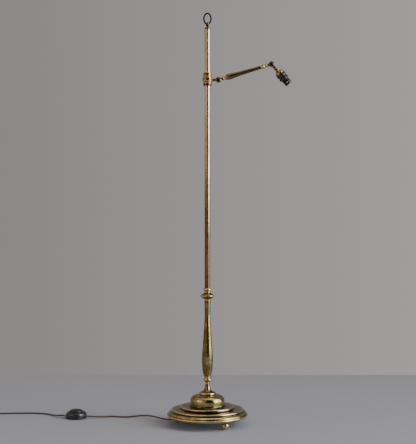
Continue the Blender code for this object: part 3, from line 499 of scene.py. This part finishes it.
def mottled(name, scale, detail, colours, ends=(0.0, 1.0), gloss=None, bump=None, kind="ShaderNodeTexNoise",
            **sockets):
    """A finish that follows one pattern: two colours between its ends; gloss, the roughness at each end; and
    bump, its strength and depth. The other sockets are the shader's own."""
    made, tree, shader = new_finish(name)
    pattern = add(tree, kind, Vector=add(tree, "ShaderNodeTexCoord").outputs["Object"], Scale=scale)
    if detail is not None:
        give(pattern, Detail=detail)
    tone = add(tree, "ShaderNodeValToRGB", Fac=pattern)
    for element, colour, end in zip(tone.color_ramp.elements, colours, ends):
        element.color, element.position = linear(colour), end
    if gloss:
        sockets["Roughness"] = add(tree, "ShaderNodeMapRange", Value=pattern, To_Min=gloss[0],
                                   To_Max=gloss[1])
    if bump:
        sockets["Normal"] = add(tree, "ShaderNodeBump", Height=pattern, Strength=bump[0], Distance=bump[1])
    give(shader, Base_Color=tone, **sockets)
    return made


# Zinc plating: dull silver with a fine cloudy grain. Cast iron: black paint over a coarse sand-cast skin.
zinc = mottled("zinc_plated_steel", 300.0, 4.0, ("#83868A", "#B4B7BA"), gloss=(0.32, 0.5), Metallic=1.0)
iron = mottled("sand_cast_iron", 700.0, 5.0, ("#141416", "#37363A"), bump=(0.6, 0.0006), Roughness=0.7)
repaint(zinc, "base_plate", "tie_tube", "tie_washer", "tie_nut", "pole_insert")
repaint(iron, "base_weight")


# Feet: three turned brass balls, each on a short neck with a stud up into the weight, worn bright below.
foot_brass = aged_brass("polished_foot_brass", "#DCCBA0", "#9A8452", "#3A2E16", -0.06, 0.10, 0.3)
FOOT_RADIUS, FOOT_FLAT = 0.0138, 0.0050
middle = math.sqrt(FOOT_RADIUS ** 2 - FOOT_FLAT ** 2)
for where in ("front", "left", "back"):
    low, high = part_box(f"ball_foot_{where}")
    spot = upright((low.x + high.x) / 2, (low.y + high.y) / 2)
    outline = eased([(0, 0.0410), (0.0030, 0.0410), (0.0030, 0.0277), (0.0060, 0.0277), (0.0062, 0.0255)],
                    0.0003)
    outline += arc(0, middle, FOOT_RADIUS, 60, math.degrees(math.atan2(-middle, FOOT_FLAT)), 22) + [(0, 0)]
    settle(turned(f"foot_{where}_turned", outline, foot_brass, spot, 48), "root", "aged_brass",
           f"ball_foot_{where}")


# Stem: five turned brass castings threaded on a tie tube. Foot, bead, long vase, knop and top bead each sit
# in the shoulder of the one below, with a dark line between them.
stem_brass = aged_brass("aged_turned_brass", "#D4BC8A", "#84703F", "#221B0D", 0.06, 0.09, 0.35)
BORE = 0.0056

stem_pieces = {
    "stem_foot": eased([(0.0070, 0.1450), (0.0078, 0.1449), (0.0077, 0.1440)], 0.0003)
    + [tuple(q[:2]) for q in flowing([(0.0077, 0.1436, 0), (0.0077, 0.1400, 0), (0.0090, 0.1300, 0),
                                      (0.0124, 0.1205, 0), (0.0180, 0.1148, 0), (0.0232, 0.1128, 0)], 6)]
    + [(0.0238, 0.1120)] + arc(0.0258, 0.1078, 0.0037, 96, -62, 12)
    + eased([(0.0268, 0.1042), (0.0262, 0.1036), (0.0262, dome_top + 0.0003)], 0.0004),
    "stem_bead": eased([(0.0088, 0.1641), (0.0098, 0.1640), (0.0098, 0.1622), (0.0092, 0.1616)], 0.0004)
    + arc(0.0080, 0.1555, 0.0060, 66, -66, 14) + eased([(0.0092, 0.1496), (0.0088, 0.1480), (0.0084, 0.1453)],
                                                       0.0006),
    "stem_baluster": eased([(0.0088, 0.4330), (0.0105, 0.4330), (0.0104, 0.4310)], 0.0004)
    + [tuple(q[:2]) for q in flowing([(0.0104, 0.4300, 0), (0.0103, 0.4130, 0), (0.0098, 0.3850, 0),
                                      (0.0103, 0.3610, 0), (0.0124, 0.3330, 0), (0.0148, 0.2924, 0),
                                      (0.0172, 0.2620, 0), (0.0187, 0.2360, 0), (0.0190, 0.2180, 0),
                                      (0.0184, 0.1990, 0), (0.0167, 0.1830, 0), (0.0142, 0.1720, 0),
                                      (0.0112, 0.1660, 0)], 6)] + [(0.0104, 0.1643)],
    "stem_knop": eased([(0.0096, 0.4600), (0.0106, 0.4600), (0.0105, 0.4572), (0.0118, 0.4545),
                        (0.0160, 0.4522),
                        (0.0208, 0.4480)], 0.0012)[:-1]
    + arc(0.0225, 0.4448, 0.0022, 78, -70, 10)
    + eased([(0.0228, 0.4424), (0.0205, 0.4390), (0.0160, 0.4352), (0.0132, 0.4334), (0.0120, 0.4333)],
            0.0012),
    "stem_top_bead": eased([(0.0098, 0.4708), (0.0108, 0.4708), (0.0112, 0.4704)], 0.0002)
    + arc(0.0101, 0.4665, 0.0043, 70, -70, 12) + eased([(0.0112, 0.4620), (0.0106, 0.4612), (0.0106, 0.4603)],
                                                       0.0003),
}
for node, outline in stem_pieces.items():
    inside = [(BORE, outline[-1][1]), (BORE, outline[0][1])]
    if node == "stem_baluster":
        inside = [(0.0088, 0.1643), (0.0150, 0.1860), (0.0160, 0.2360), (0.0088, 0.3500), (0.0080, 0.4330)]
    settle(turned(f"{node}_turned", outline, stem_brass, upright(), 96, inside), "root", "aged_brass", node)


# Pole: drawn brass tube, once lacquered. It is paler at the top, down to just under the collar, and browner
# towards the bottom, with runs of tarnish down its length. A slot down its back passes the flex into the
# collar.
CREASE = math.radians(32)               # a cut piece shades sharp where its faces turn by more than this


def carved(piece, operations):
    """Cuts or adds tools to a piece, one after another, and drops the tools."""
    for k, (operation, tool) in enumerate(operations):
        step = piece.modifiers.new(f"step_{k}", "BOOLEAN")
        step.operation, step.object, step.solver = operation, tool, "MANIFOLD"
    mesh = bpy.data.meshes.new_from_object(piece.evaluated_get(bpy.context.evaluated_depsgraph_get()))
    piece.modifiers.clear()
    piece.data = mesh
    for _, tool in operations:
        bpy.data.objects.remove(tool, do_unlink=True)
    clean = bmesh.new()
    clean.from_mesh(mesh)
    for face in clean.faces:
        face.smooth = True
    clean.to_mesh(mesh)
    clean.free()
    mesh.set_sharp_from_angle(angle=CREASE)
    return piece


def brick(name, low, high, place):
    """A plain block to cut with."""
    made = bmesh.new()
    bmesh.ops.create_cube(made, size=1, matrix=Matrix.LocRotScale((Vector(low) + Vector(high)) / 2, None,
                                                                  Vector(high) - Vector(low)))
    made.transform(place)
    mesh = bpy.data.meshes.new(name)
    made.to_mesh(mesh)
    made.free()
    tool = bpy.data.objects.new(name, mesh)
    bpy.context.scene.collection.objects.link(tool)
    return tool


pole_brass, tree, shader = new_finish("drawn_brass_tube")
space = add(tree, "ShaderNodeTexCoord").outputs["Object"]
COLLAR_Z = 1.1927
height = add(tree, "ShaderNodeSeparateXYZ", Vector=space).outputs["Z"]
lower = add(tree, "ShaderNodeMapRange", {"interpolation_type": "SMOOTHSTEP"}, Value=height, From_Min=1.16,
            From_Max=0.55, To_Min=0.0, To_Max=1.0)
runs = add(tree, "ShaderNodeTexNoise", Scale=1.0, Detail=5.0, Roughness=0.6,
           Vector=add(tree, "ShaderNodeMapping", Vector=space, Scale=(160.0, 160.0, 5.0)))
blotches = add(tree, "ShaderNodeTexNoise", Vector=space, Scale=60.0, Detail=5.0)
mixed = add(tree, "ShaderNodeMath", {"operation": "MULTIPLY_ADD"}, _0=lower, _1=0.40,
            _2=runs)
age = add(tree, "ShaderNodeMath", {"operation": "MULTIPLY_ADD", "use_clamp": True},
          _0=blotches, _1=0.25, _2=mixed)
tone = add(tree, "ShaderNodeValToRGB", Fac=age)
tone.color_ramp.elements[0].position, tone.color_ramp.elements[0].color = 0.48, linear("#DCCBB0")
tone.color_ramp.elements[1].position, tone.color_ramp.elements[1].color = 1.0, linear("#6E5434")
tone.color_ramp.elements.new(0.74).color = linear("#B39A72")
rough = add(tree, "ShaderNodeMapRange", Value=age, From_Min=0.4, To_Min=0.27, To_Max=0.42)
drawn = add(tree, "ShaderNodeBump", Height=runs, Strength=0.08, Distance=0.0002)
give(shader, Base_Color=tone, Roughness=rough, Normal=drawn, Metallic=1.0, Coat_Weight=0.25,
     Coat_Roughness=0.15)

POLE_RADIUS, POLE_BORE, SLOT_HALF = 0.0098, 0.0084, 0.0025
outline = eased([(POLE_BORE, pole_high.z), (POLE_RADIUS, pole_high.z), (POLE_RADIUS, pole_high.z - 0.01)],
                0.0003)
outline += [(POLE_RADIUS, z) for z in np.linspace(pole_high.z - 0.02, pole_low.z + 0.02, 12)]
outline += eased([(POLE_RADIUS, pole_low.z + 0.01), (POLE_RADIUS, pole_low.z), (POLE_BORE, pole_low.z)],
                 0.0003)
tube = turned("pole_tube", outline[1:-1], pole_brass, upright(), 96,
              [(POLE_BORE, pole_low.z), (POLE_BORE, pole_high.z)])
slot = brick("pole_slot", (-SLOT_HALF, 0.004, 0.488), (SLOT_HALF, 0.014, 1.347), upright())
settle(carved(tube, [("DIFFERENCE", slot)]), "root", "pole_brass", "pole")


# Finial: a turned plug in the pole's top, a ball on a thin neck, and an oval ring of round wire brazed on.
finial_brass = aged_brass("dark_finial_brass", "#6E5E3C", "#30281A", "#0F0D08", 0.26, 0.16, 0.2)
BALL_Z, RING_ACROSS, RING_UP, RING_WIRE = 1.3846, 0.0122, 0.0187, 0.0027
outline = [(0, BALL_Z + 0.0064)] + arc(0, BALL_Z, 0.0064, 84, -56, 18)
outline += eased([(0.0037, 1.3785), (0.0037, 1.3765), (0.0048, 1.3738), (0.0090, 1.3727), (0.0098, 1.3705),
                  (0.0095, 1.3668), (0.0081, 1.3668), (0.0081, 1.3505), (0, 1.3505)], 0.0008)
oval = [(pole_x + RING_ACROSS * math.cos(t), 0, BALL_Z + RING_UP * (1 + math.sin(t)))
        for t in np.linspace(0, math.tau, 64, endpoint=False)]
ring = grown("finial_ring", tube_tree, line_mesh("finial_ring", oval, closed=True),
             {"Radius": RING_WIRE, "Sides": 20, "Finish": finial_brass})
plug_piece = turned("finial_turned", outline, finial_brass, upright(), 48)
settle(carved(plug_piece, [("UNION", ring)]), "root", "aged_brass", "finial")


# Collar: a sprung sleeve that grips the pole, two fixed collars, and between them the swivel band, cast with
# the first half of the arm's knuckle. Polished on the crests, black in the joints.
collar_brass = aged_brass("handled_brass", "#CDB07A", "#785F32", "#1A140A", 0.09, 0.11, 0.35)
SLEEVE_RADIUS, GAP = 0.0121, 0.0003
band = upright(z=COLLAR_Z)
sleeve = turned("sleeve_turned", [(SLEEVE_RADIUS, 0.0243), (SLEEVE_RADIUS, 0.0100), (SLEEVE_RADIUS, -0.0100),
                                  (SLEEVE_RADIUS, -0.0215)], collar_brass, band, 64,
                [(POLE_RADIUS + GAP, -0.0215), (POLE_RADIUS + GAP, 0.0243)])
window = brick("sleeve_window", (-SLOT_HALF, 0.004, -0.0063), (SLOT_HALF, 0.016, 0.0063), band)
settle(carved(sleeve, [("DIFFERENCE", window)]), "slider", "aged_brass", "slider_sleeve")
collar_bore = SLEEVE_RADIUS + GAP
for node, up in (("upper_collar", 1), ("lower_collar", -1)):
    outline = eased([(collar_bore, 0.0243), (0.0130, 0.0243), (0.0140, 0.0232), (0.0143, 0.0216),
                     (0.0137, 0.0206),
                     (0.0141, 0.0196), (0.0145, 0.0166), (0.0141, 0.0132), (0.0136, 0.0122), (0.0141, 0.0110),
                     (0.0137, 0.0092), (0.0130, 0.0090), (collar_bore, 0.0090)], 0.0007)
    if up < 0:
        outline = [(r, -(z if z < 0.0230 else 0.0215 + (z - 0.0230) * 0.1)) for r, z in outline][::-1]
        outline = [(r, max(z, -0.0215)) for r, z in outline]
    settle(turned(f"{node}_turned", outline, collar_brass, band, 80, [(collar_bore, outline[0][1])]),
           "slider", "aged_brass", node)


# Knuckles: each is two half discs side by side on a pivot screw, cast with the neck of the piece they belong
# to. The arm hangs on the first and the lampholder on the second.
joints = {joint["name"]: joint for joint in frame["record"]["behaviour"]["joints"]}
arm_pivot, head_pivot = Vector(joints["arm_tilt"]["pos_m"]), Vector(joints["head_tilt"]["pos_m"])
arm_way = (head_pivot - arm_pivot).normalized()
HEAD_TILT = math.radians(-48.5)         # the lampholder's own direction at rest, below level
head_way = Vector((math.cos(HEAD_TILT), 0, math.sin(HEAD_TILT)))
KNUCKLE_RADIUS, KNUCKLE_HALF, PIVOT_RADIUS = 0.0102, 0.0056, 0.0020


def aimed(spot, way):
    """A frame whose own Z points along way, with its own X across the lamp."""
    return Matrix.Translation(spot) @ way.to_track_quat("Z", "Y").to_matrix().to_4x4()


def knuckle_half(piece, place, side, finish, joined=()):
    """Joins what is cast with a piece, cuts its neck back for its neighbour's disc, and adds its own half
    disc on that side of local X, with the pivot's hole."""
    across = Matrix.Rotation(math.radians(90), 4, "Y")
    room = [(0, 0.02), (KNUCKLE_RADIUS + 0.0005, 0.02), (KNUCKLE_RADIUS + 0.0005, -GAP / 2), (0, -GAP / 2)]
    disc = eased([(0, KNUCKLE_HALF), (0.0070, KNUCKLE_HALF), (0.0074, KNUCKLE_HALF - 0.0005),
                  (KNUCKLE_RADIUS - 0.0002, KNUCKLE_HALF - 0.0006), (KNUCKLE_RADIUS, GAP / 2),
                  (0, GAP / 2)], 0.0006)
    hole = [(0, 0.02), (PIVOT_RADIUS + GAP, 0.02), (PIVOT_RADIUS + GAP, -0.02), (0, -0.02)]
    flipped = across @ Matrix.Rotation(math.pi, 4, "X")
    own, other = (place @ turn for turn in ((across, flipped) if side > 0 else (flipped, across)))
    tools = [("DIFFERENCE", turned("room", room, finish, other, 48)),
             ("UNION", turned("disc", disc, finish, own, 48)),
             ("DIFFERENCE", turned("hole", hole, finish, own, 24))]
    return carved(piece, [("UNION", part) for part in joined] + tools)


BOSS_FROM = 0.0140                      # how far out from the pole's middle the boss starts, inside the band
reach = (arm_pivot.x - pole_x) - BOSS_FROM
outline = eased([(0, reach), (0.0066, reach), (0.0062, reach - 0.0040), (0.0046, reach - 0.0075),
                 (0.0052, KNUCKLE_RADIUS - 0.0005), (0.0050, 0.0040), (0, 0.0040)], 0.0020)
boss = turned("bracket_boss", outline, collar_brass, aimed(arm_pivot, Vector((-1, 0, 0))), 40)
outline = eased([(collar_bore, 0.0087), (0.0150, 0.0086), (0.0162, 0.0074), (0.0164, 0.0058),
                 (0.0172, 0.0040),
                 (0.0173, 0.0000), (0.0172, -0.0042), (0.0164, -0.0060), (0.0162, -0.0076), (0.0150, -0.0087),
                 (collar_bore, -0.0087)], 0.0012)
swivel = turned("swivel_turned", outline[1:], collar_brass, band, 80, [(collar_bore, 0.0087)])
knuckle_half(swivel, aimed(arm_pivot, Vector((-1, 0, 0))), 1, collar_brass, [boss])
settle(swivel, "bracket", "aged_brass", "swivel_bracket")


# Arm: a turned brass handle, fat near its inner end and slim at the outer, between two beaded knuckle pieces.
# It is brown with handling.
arm_brass = aged_brass("browned_arm_brass", "#BCA47A", "#6E5B3A", "#1C160D", 0.12, 0.11, 0.3)
arm_place, tip_place = aimed(arm_pivot, arm_way), aimed(head_pivot, -arm_way)
head_place = aimed(head_pivot, head_way)
outline = [(0, 0.0238)] + eased([(0.0046, 0.0238), (0.0052, 0.0232), (0.0052, 0.0205)], 0.0004)
outline += arc(0.0048, 0.0178, 0.0026, 70, -70,
               12) + eased([(0.0048, 0.0148), (0.0050, 0.0130), (0.0050, 0.0040),
                                                             (0, 0.0040)], 0.0010)
eye = turned("arm_eye_turned", outline, arm_brass, arm_place, 40)
settle(knuckle_half(eye, arm_place, 1, arm_brass), "arm", "aged_brass", "arm_eye")

HANDLE_BORE = 0.0032
profile = [(0.0060, 0.1500, 0), (0.0061, 0.1440, 0), (0.0066, 0.1150, 0), (0.0074, 0.0830, 0),
           (0.0090, 0.0590, 0),
           (0.0103, 0.0460, 0), (0.0106, 0.0415, 0), (0.0102, 0.0360, 0), (0.0086, 0.0295, 0),
           (0.0070, 0.0262, 0)]
outline = eased([(HANDLE_BORE, 0.1570), (0.0062, 0.1570), (0.0066, 0.1555), (0.0062, 0.1538),
                 (0.0060, 0.1520)],
                0.0006)
outline += [tuple(q[:2]) for q in flowing(profile, 6)]
outline += eased([(0.0066, 0.0256), (0.0064, 0.0248), (0.0060, 0.0241), (HANDLE_BORE, 0.0241)], 0.0004)
settle(turned("arm_handle_turned", outline, arm_brass, arm_place, 64, [(HANDLE_BORE, 0.1569)]), "arm",
       "aged_brass",
       "arm_handle")
outline = eased([(HANDLE_BORE, 0.1665), (0.0060, 0.1665), (0.0063, 0.1655)], 0.0003)
outline += arc(0.0057, 0.1619, 0.0029, 66, -66, 12)
outline += eased([(0.0063, 0.1583), (0.0060, 0.1573), (HANDLE_BORE, 0.1573)], 0.0003)
settle(turned("arm_ferrule_turned", outline, arm_brass, arm_place, 48, [(HANDLE_BORE, 0.1664)]), "arm",
       "aged_brass", "arm_ferrule")
TIP_FROM = 0.1668                       # how far out along the arm the tip piece starts, past the ferrule
length = (head_pivot - arm_pivot).length - TIP_FROM
outline = eased([(0, length), (0.0052, length), (0.0050, length - 0.0040), (0.0047, 0.0204)], 0.0004)
outline += arc(0.0046, 0.0180, 0.0024, 70, -70, 12)
outline += eased([(0.0047, 0.0150), (0.0048, 0.0130), (0.0048, 0.0040), (0, 0.0040)], 0.0010)
tip = turned("arm_tip_turned", outline, arm_brass, tip_place, 40)
settle(knuckle_half(tip, tip_place, -1, arm_brass), "arm", "aged_brass", "arm_tip")

# Bronzed steel: the pivot screws and nuts, browned nearly black, with a slot in each domed head.
bronzed = mottled("bronzed_steel", 260.0, 5.0, ("#25221C", "#6B5C3F"), (0.35, 0.75), (0.22, 0.42),
                  Metallic=1.0)

head_z = KNUCKLE_HALF + GAP
for name, body, place in (("arm_pivot", "bracket", aimed(arm_pivot, Vector((-1, 0, 0)))),
                          ("head_pivot", "arm", tip_place)):
    low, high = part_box(f"{name}_screw")
    front = -1 if abs(low.y) > abs(high.y) else 1
    sideways = Matrix.Translation(arm_pivot if name == "arm_pivot" else head_pivot)
    sideways = sideways @ Matrix.Rotation(math.radians(90) * (1 if front < 0 else -1), 4, "X")
    outline = [(0, head_z + 0.0022)] + eased([(0.0016, head_z + 0.0021), (0.0032, head_z + 0.0016),
                                             (0.0044, head_z + 0.0006), (0.0046, head_z),
                                             (PIVOT_RADIUS, head_z),
                                             (PIVOT_RADIUS, -KNUCKLE_HALF - 0.0040),
                                             (0, -KNUCKLE_HALF - 0.0040)], 0.0005)
    screw = turned(f"{name}_screw_turned", outline, bronzed, sideways, 40)
    cut = brick("driver_slot", (-0.0060, -0.0005, head_z + 0.0010), (0.0060, 0.0005, head_z + 0.0040),
                sideways @ Matrix.Rotation(math.radians(35), 4, "Z"))
    settle(carved(screw, [("DIFFERENCE", cut)]), body, "dark_bronze", f"{name}_screw")
    outline = eased([(PIVOT_RADIUS + GAP, -head_z), (0.0046, -head_z), (0.0046, -head_z - 0.0018),
                     (0.0036, -head_z - 0.0026), (PIVOT_RADIUS + GAP, -head_z - 0.0026)], 0.0004)
    settle(turned(f"{name}_nut_turned", outline, bronzed, sideways, 40,
                  [(PIVOT_RADIUS + GAP, -head_z - 0.0001)]),
           body, "dark_bronze", f"{name}_nut")


# Lampholder: the second knuckle's outer half carries a bayonet holder. Its cap is brass with its bronzing
# rubbed off the front. The rings, body and skirt are still dark, with two J-shaped slots in the mouth.
cap_brass = aged_brass("rubbed_cap_brass", "#B29A68", "#5A4B29", "#17140D", 0.10, 0.16, 0.25)
holder_bronze = aged_brass("dark_bronzed_brass", "#5F5A48", "#2C2B25", "#100F0D", 0.06, 0.24, 0.15)
outline = eased([(0, 0.0400), (0.0047, 0.0400), (0.0047, 0.0318), (0.0070, 0.0318), (0.0074, 0.0300),
                 (0.0068, 0.0280), (0.0046, 0.0270), (0.0046, 0.0225), (0.0058, 0.0210), (0.0058, 0.0190),
                 (0.0048, 0.0175), (0.0048, 0.0040), (0, 0.0040)], 0.0008)
eye = turned("head_eye_turned", outline, arm_brass, head_place, 40)
settle(knuckle_half(eye, head_place, -1, arm_brass), "head", "aged_brass", "head_eye")

# Heights in the holder are measured from the second pivot, so an outline's top is its end towards the mouth.
outline = eased([(0.0152, 0.0455), (0.0160, 0.0455), (0.0161, 0.0440), (0.0160, 0.0420), (0.0150, 0.0385),
                 (0.0122, 0.0350), (0.0078, 0.0332), (0.0074, 0.0321), (0.0050, 0.0321)], 0.0016)
inside = [(0.0050, 0.0345), (0.0115, 0.0360), (0.0140, 0.0395), (0.0149, 0.0425), (0.0149, 0.0455)]
settle(turned("holder_cap_turned", outline, cap_brass, head_place, 64, inside), "head", "aged_brass",
       "holder_cap")


# Milled rings: a round bar with shallow ribs cut across its crest, one every 1.5 mm.
milled_tree = new_tree("milled_ring")
sized(milled_tree, "Ribs", "NodeSocketInt", 60)
sized(milled_tree, "Ring radius", "NodeSocketFloat", 0.0165)
sized(milled_tree, "Rib radius", "NodeSocketFloat", 0.0005)
sized(milled_tree, "Rib length", "NodeSocketFloat", 0.0040)
sized(milled_tree, "Height", "NodeSocketFloat", 0.06)
sized(milled_tree, "Finish", "NodeSocketMaterial", None)
given = add(milled_tree, "NodeGroupInput")
spread = add(milled_tree, "GeometryNodeCurvePrimitiveCircle", Resolution=given.outputs["Ribs"],
             Radius=given.outputs["Ring radius"])
lift = add(milled_tree, "ShaderNodeCombineXYZ", Z=given.outputs["Height"])
spread = add(milled_tree, "GeometryNodeTransform", Geometry=spread, Translation=lift)
rib = add(milled_tree, "GeometryNodeMeshCylinder", Vertices=8, Side_Segments=1,
          Radius=given.outputs["Rib radius"],
          Depth=given.outputs["Rib length"])
ribs = add(milled_tree, "GeometryNodeInstanceOnPoints",
           Points=add(milled_tree, "GeometryNodeCurveToPoints", {"mode": "EVALUATED"}, Curve=spread),
           Instance=rib.outputs["Mesh"])
both = add(milled_tree, "GeometryNodeJoinGeometry", _0=ribs)
give(both, _0=given.outputs["Geometry"])
close_tree(milled_tree, both, given.outputs["Finish"])

for node, outline, bore, middle, wide in (
        ("holder_ring", [(0.0149, 0.0532), (0.0160, 0.0532), (0.0163, 0.0528), (0.0163, 0.0470),
                         (0.0160, 0.0458),
                         (0.0149, 0.0458)], 0.0149, 0.0499, 0.0050),
        ("shade_ring", [(0.0141, 0.0672), (0.0160, 0.0672), (0.0166, 0.0666), (0.0166, 0.0610),
                        (0.0160, 0.0604),
                        (0.0141, 0.0604)], 0.0141, 0.0638, 0.0046)):
    plain = turned(f"{node}_plain", eased(outline, 0.0004), holder_bronze, Matrix.Identity(4), 72,
                   [(bore, outline[0][1] - 0.0001)])
    ring = grown(f"{node}_milled", milled_tree, plain.data.copy(),
                 {"Ribs": 66, "Ring radius": outline[2][0] + 0.0001, "Rib radius": 0.0004, "Rib length": wide,
                  "Height": middle, "Finish": holder_bronze})
    bpy.data.objects.remove(plain, do_unlink=True)
    ring.data.transform(head_place)
    settle(ring, "head", "dark_bronze", node)

SKIRT_RADIUS, SOCKET_RADIUS, MOUTH = 0.0126, 0.0114, 0.0912
outline = eased([(SOCKET_RADIUS, MOUTH), (SKIRT_RADIUS, MOUTH), (SKIRT_RADIUS + 0.0001, MOUTH - 0.004),
                 (SKIRT_RADIUS, 0.0716), (0.0132, 0.0708), (0.0138, 0.0696), (0.0138, 0.0580),
                 (0.0150, 0.0576),
                 (0.0158, 0.0568), (0.0158, 0.0535), (SOCKET_RADIUS, 0.0535)], 0.0006)
holder = turned("holder_body_turned", outline, holder_bronze, head_place, 96,
                [(SOCKET_RADIUS, MOUTH - 0.0001)])
SLOT_BEARING = 196                      # degrees round the mouth to the first bayonet slot
cuts = []
for turn in (0, 180):
    own = head_place @ Matrix.Rotation(math.radians(SLOT_BEARING + turn), 4, "Z")
    cuts.append(("DIFFERENCE", brick("entry", (0.004, -0.0017, 0.0806), (0.020, 0.0017, 0.0950), own)))
    cuts.append(("DIFFERENCE", brick("rest", (0.004, -0.0060, 0.0806), (0.020, 0.0, 0.0840), own)))
settle(carved(holder, cuts), "head", "dark_bronze", "holder_body")

# Insulator: off-white glazed steatite. The two contact plungers are plain brass on steel springs.
steatite = mottled("glazed_steatite", 500.0, 4.0, ("#B9B19C", "#E6E1D3"), gloss=(0.15, 0.3), IOR=1.55)
contact_brass = aged_brass("contact_brass", "#D9BE80", "#A5834A", "#4D3A1B", -0.05, 0.2, 0.0)
repaint(steatite, "holder_insulator")
repaint(contact_brass, "contact_plunger_1", "contact_plunger_2")
repaint(zinc, "contact_spring_1", "contact_spring_2")
repaint(woven_flex, "arm_cores", "inner_flex")


# Foot switch: moulded black phenolic in two shells, with a broad sprung button in the middle, and a small
# brass bush where the flex goes in at each side. Glossy on top, and scuffed matt round the button's edge.
phenolic, tree, shader = new_finish("moulded_phenolic")
space = add(tree, "ShaderNodeTexCoord").outputs["Object"]
scuffs = add(tree, "ShaderNodeTexNoise", Vector=space, Scale=120.0, Detail=6.0, Roughness=0.65)
fine = add(tree, "ShaderNodeTexNoise", Vector=space, Scale=1500.0, Detail=2.0)
tone = add(tree, "ShaderNodeValToRGB", Fac=scuffs)
tone.color_ramp.elements[0].position, tone.color_ramp.elements[0].color = 0.4, linear("#0F1316")
tone.color_ramp.elements[1].position, tone.color_ramp.elements[1].color = 0.8, linear("#23292E")
rough = add(tree, "ShaderNodeMapRange", Value=scuffs, From_Min=0.3, From_Max=0.75, To_Min=0.20, To_Max=0.42)
skin = add(tree, "ShaderNodeBump", Height=fine, Strength=0.05, Distance=0.0002)
give(shader, Base_Color=tone, Roughness=rough, Normal=skin, IOR=1.6)

BUTTON_RADIUS = 0.0228
at_switch = Matrix.Translation(at_pole + SWITCH_CENTRE) @ Matrix.Rotation(SWITCH_TURN, 4, "Z")
outline = eased([(BUTTON_RADIUS + 0.0005, 0.0222), (BUTTON_RADIUS + 0.0005, 0.0236), (0.0240, 0.0240),
                 (0.0268, 0.0243), (0.0318, 0.0226), (0.0350, 0.0190), (0.0367, 0.0140), (0.0368, 0.0100),
                 (0.0368, 0.0062), (0.0362, 0.0058), (0.0362, 0.0050), (0.0368, 0.0046), (0.0368, 0.0043),
                 (0.0348, 0.0043)], 0.0012)
inside = [(0.0348, 0.0136), (0.0334, 0.0176), (0.0306, 0.0206), (0.0266, 0.0222),
          (BUTTON_RADIUS + 0.0005, 0.0214)]
settle(turned("switch_cover_moulded", outline, phenolic, at_switch, 96,
                                              inside),
                                       "root", "black_plastic", "switch_cover")
outline = [(0, 0.0326)] + eased([(0.0060, 0.0325), (0.0120, 0.0322), (0.0150, 0.0318), (0.0162, 0.0311),
                                 (0.0168, 0.0311), (0.0200, 0.0300), (0.0222, 0.0284), (0.0228, 0.0270),
                                 (0.0228, 0.0205), (0.0050, 0.0205), (0.0050, 0.0150), (0, 0.0150)], 0.0010)
settle(turned("switch_button_moulded", outline, phenolic, at_switch, 80),
                                        "button",
                                        "black_plastic", "switch_button")
outline = eased([(0.0030, 0.0040), (0.0340, 0.0040), (0.0362, 0.0038), (0.0365, 0.0034), (0.0365, 0.0012),
                 (0.0353, 0.0), (0.0030, 0.0)], 0.0006)
settle(turned("switch_base_moulded", outline, phenolic, at_switch, 96,
                                             [(0.0030, 0.0039)]), "root", "black_plastic", "switch_base")
for side, where in ((1, "near"), (-1, "far")):
    bush_place = (at_switch @ Matrix.Translation((side * (SWITCH_RADIUS + GAP), 0, SWITCH_ENTRY_Z))
                  @ Matrix.Rotation(side * math.pi / 2, 4, "Y"))
    outline = eased([(0, 0.0060), (0.0031, 0.0060), (0.0034, 0.0056), (0.0042, 0.0012), (0.0042, 0), (0, 0)],
                    0.0006)
    bush = turned(f"switch_bush_{where}_turned", outline, cap_brass, bush_place, 32)
    settle(bush, "root", "aged_brass", f"switch_bush_{where}")
repaint(phenolic, "switch_contacts", "flex_bush")
repaint(zinc, "switch_spring")

# Strain reliefs: soft black rubber, tapered, dull and slightly dusty.
rubber = mottled("moulded_rubber", 220.0, 6.0, ("#101010", "#2B2A29"), bump=(0.15, 0.0003), Roughness=0.6)
repaint(rubber, "flex_sleeve", "plug_sleeve")
repaint(phenolic, "plug_base", "plug_cover")
repaint(contact_brass, "plug_pin_earth", "plug_pin_live", "plug_pin_neutral")

# Coil tie: a black woven strap, 8 mm wide and under 1 mm thick, pulled round the coil's section and pressed
# to itself.
strap_nylon = mottled("woven_nylon_strap", 1400.0, None, ("#2A2A2B", "#0B0B0C"), bump=(0.4, 0.0003),
                      kind="ShaderNodeTexVoronoi", Roughness=0.8)

TIE_BEARING, TIE_WIDTH, TIE_THICK, ROUNDING, TIE_STEPS = math.radians(-35), 0.0080, 0.0008, 0.30, 40
tie_place = (Matrix.Translation(at_pole + COIL_CENTRE) @ Matrix.Rotation(TIE_BEARING, 4, "Z")
             @ Matrix.Translation((COIL_RADIUS, 0, 0)))
half = PITCH + FLEX_RADIUS + 0.0002
strap = bmesh.new()
rows = []
for step in range(TIE_STEPS):
    turn = math.tau * step / TIE_STEPS
    flat = [math.copysign(abs(c) ** ROUNDING, c) for c in (math.cos(turn), math.sin(turn))]
    row = []
    for out, side in ((0, -1), (0, 1), (TIE_THICK, 1), (TIE_THICK, -1)):
        spot = Vector((flat[0] * (half + out), side * TIE_WIDTH / 2,
                       FLEX_LOW + PITCH + flat[1] * (half + out)))
        spot.z = max(spot.z, 0.0002 if out == 0 else 0.00005)
        row.append(strap.verts.new(tie_place @ spot))
    rows.append(row)
for row, after in zip(rows, rows[1:] + rows[:1]):
    for k in range(4):
        strap.faces.new((row[k], row[(k + 1) % 4], after[(k + 1) % 4], after[k]))
bmesh.ops.recalc_face_normals(strap, faces=strap.faces)
coil_tie = bpy.data.objects.new("coil_tie", bpy.data.meshes.new("coil_tie"))
strap.to_mesh(coil_tie.data)
strap.free()
coil_tie.data.materials.append(strap_nylon)
bpy.context.scene.collection.objects.link(coil_tie)
settle(coil_tie, "root", "black_plastic")
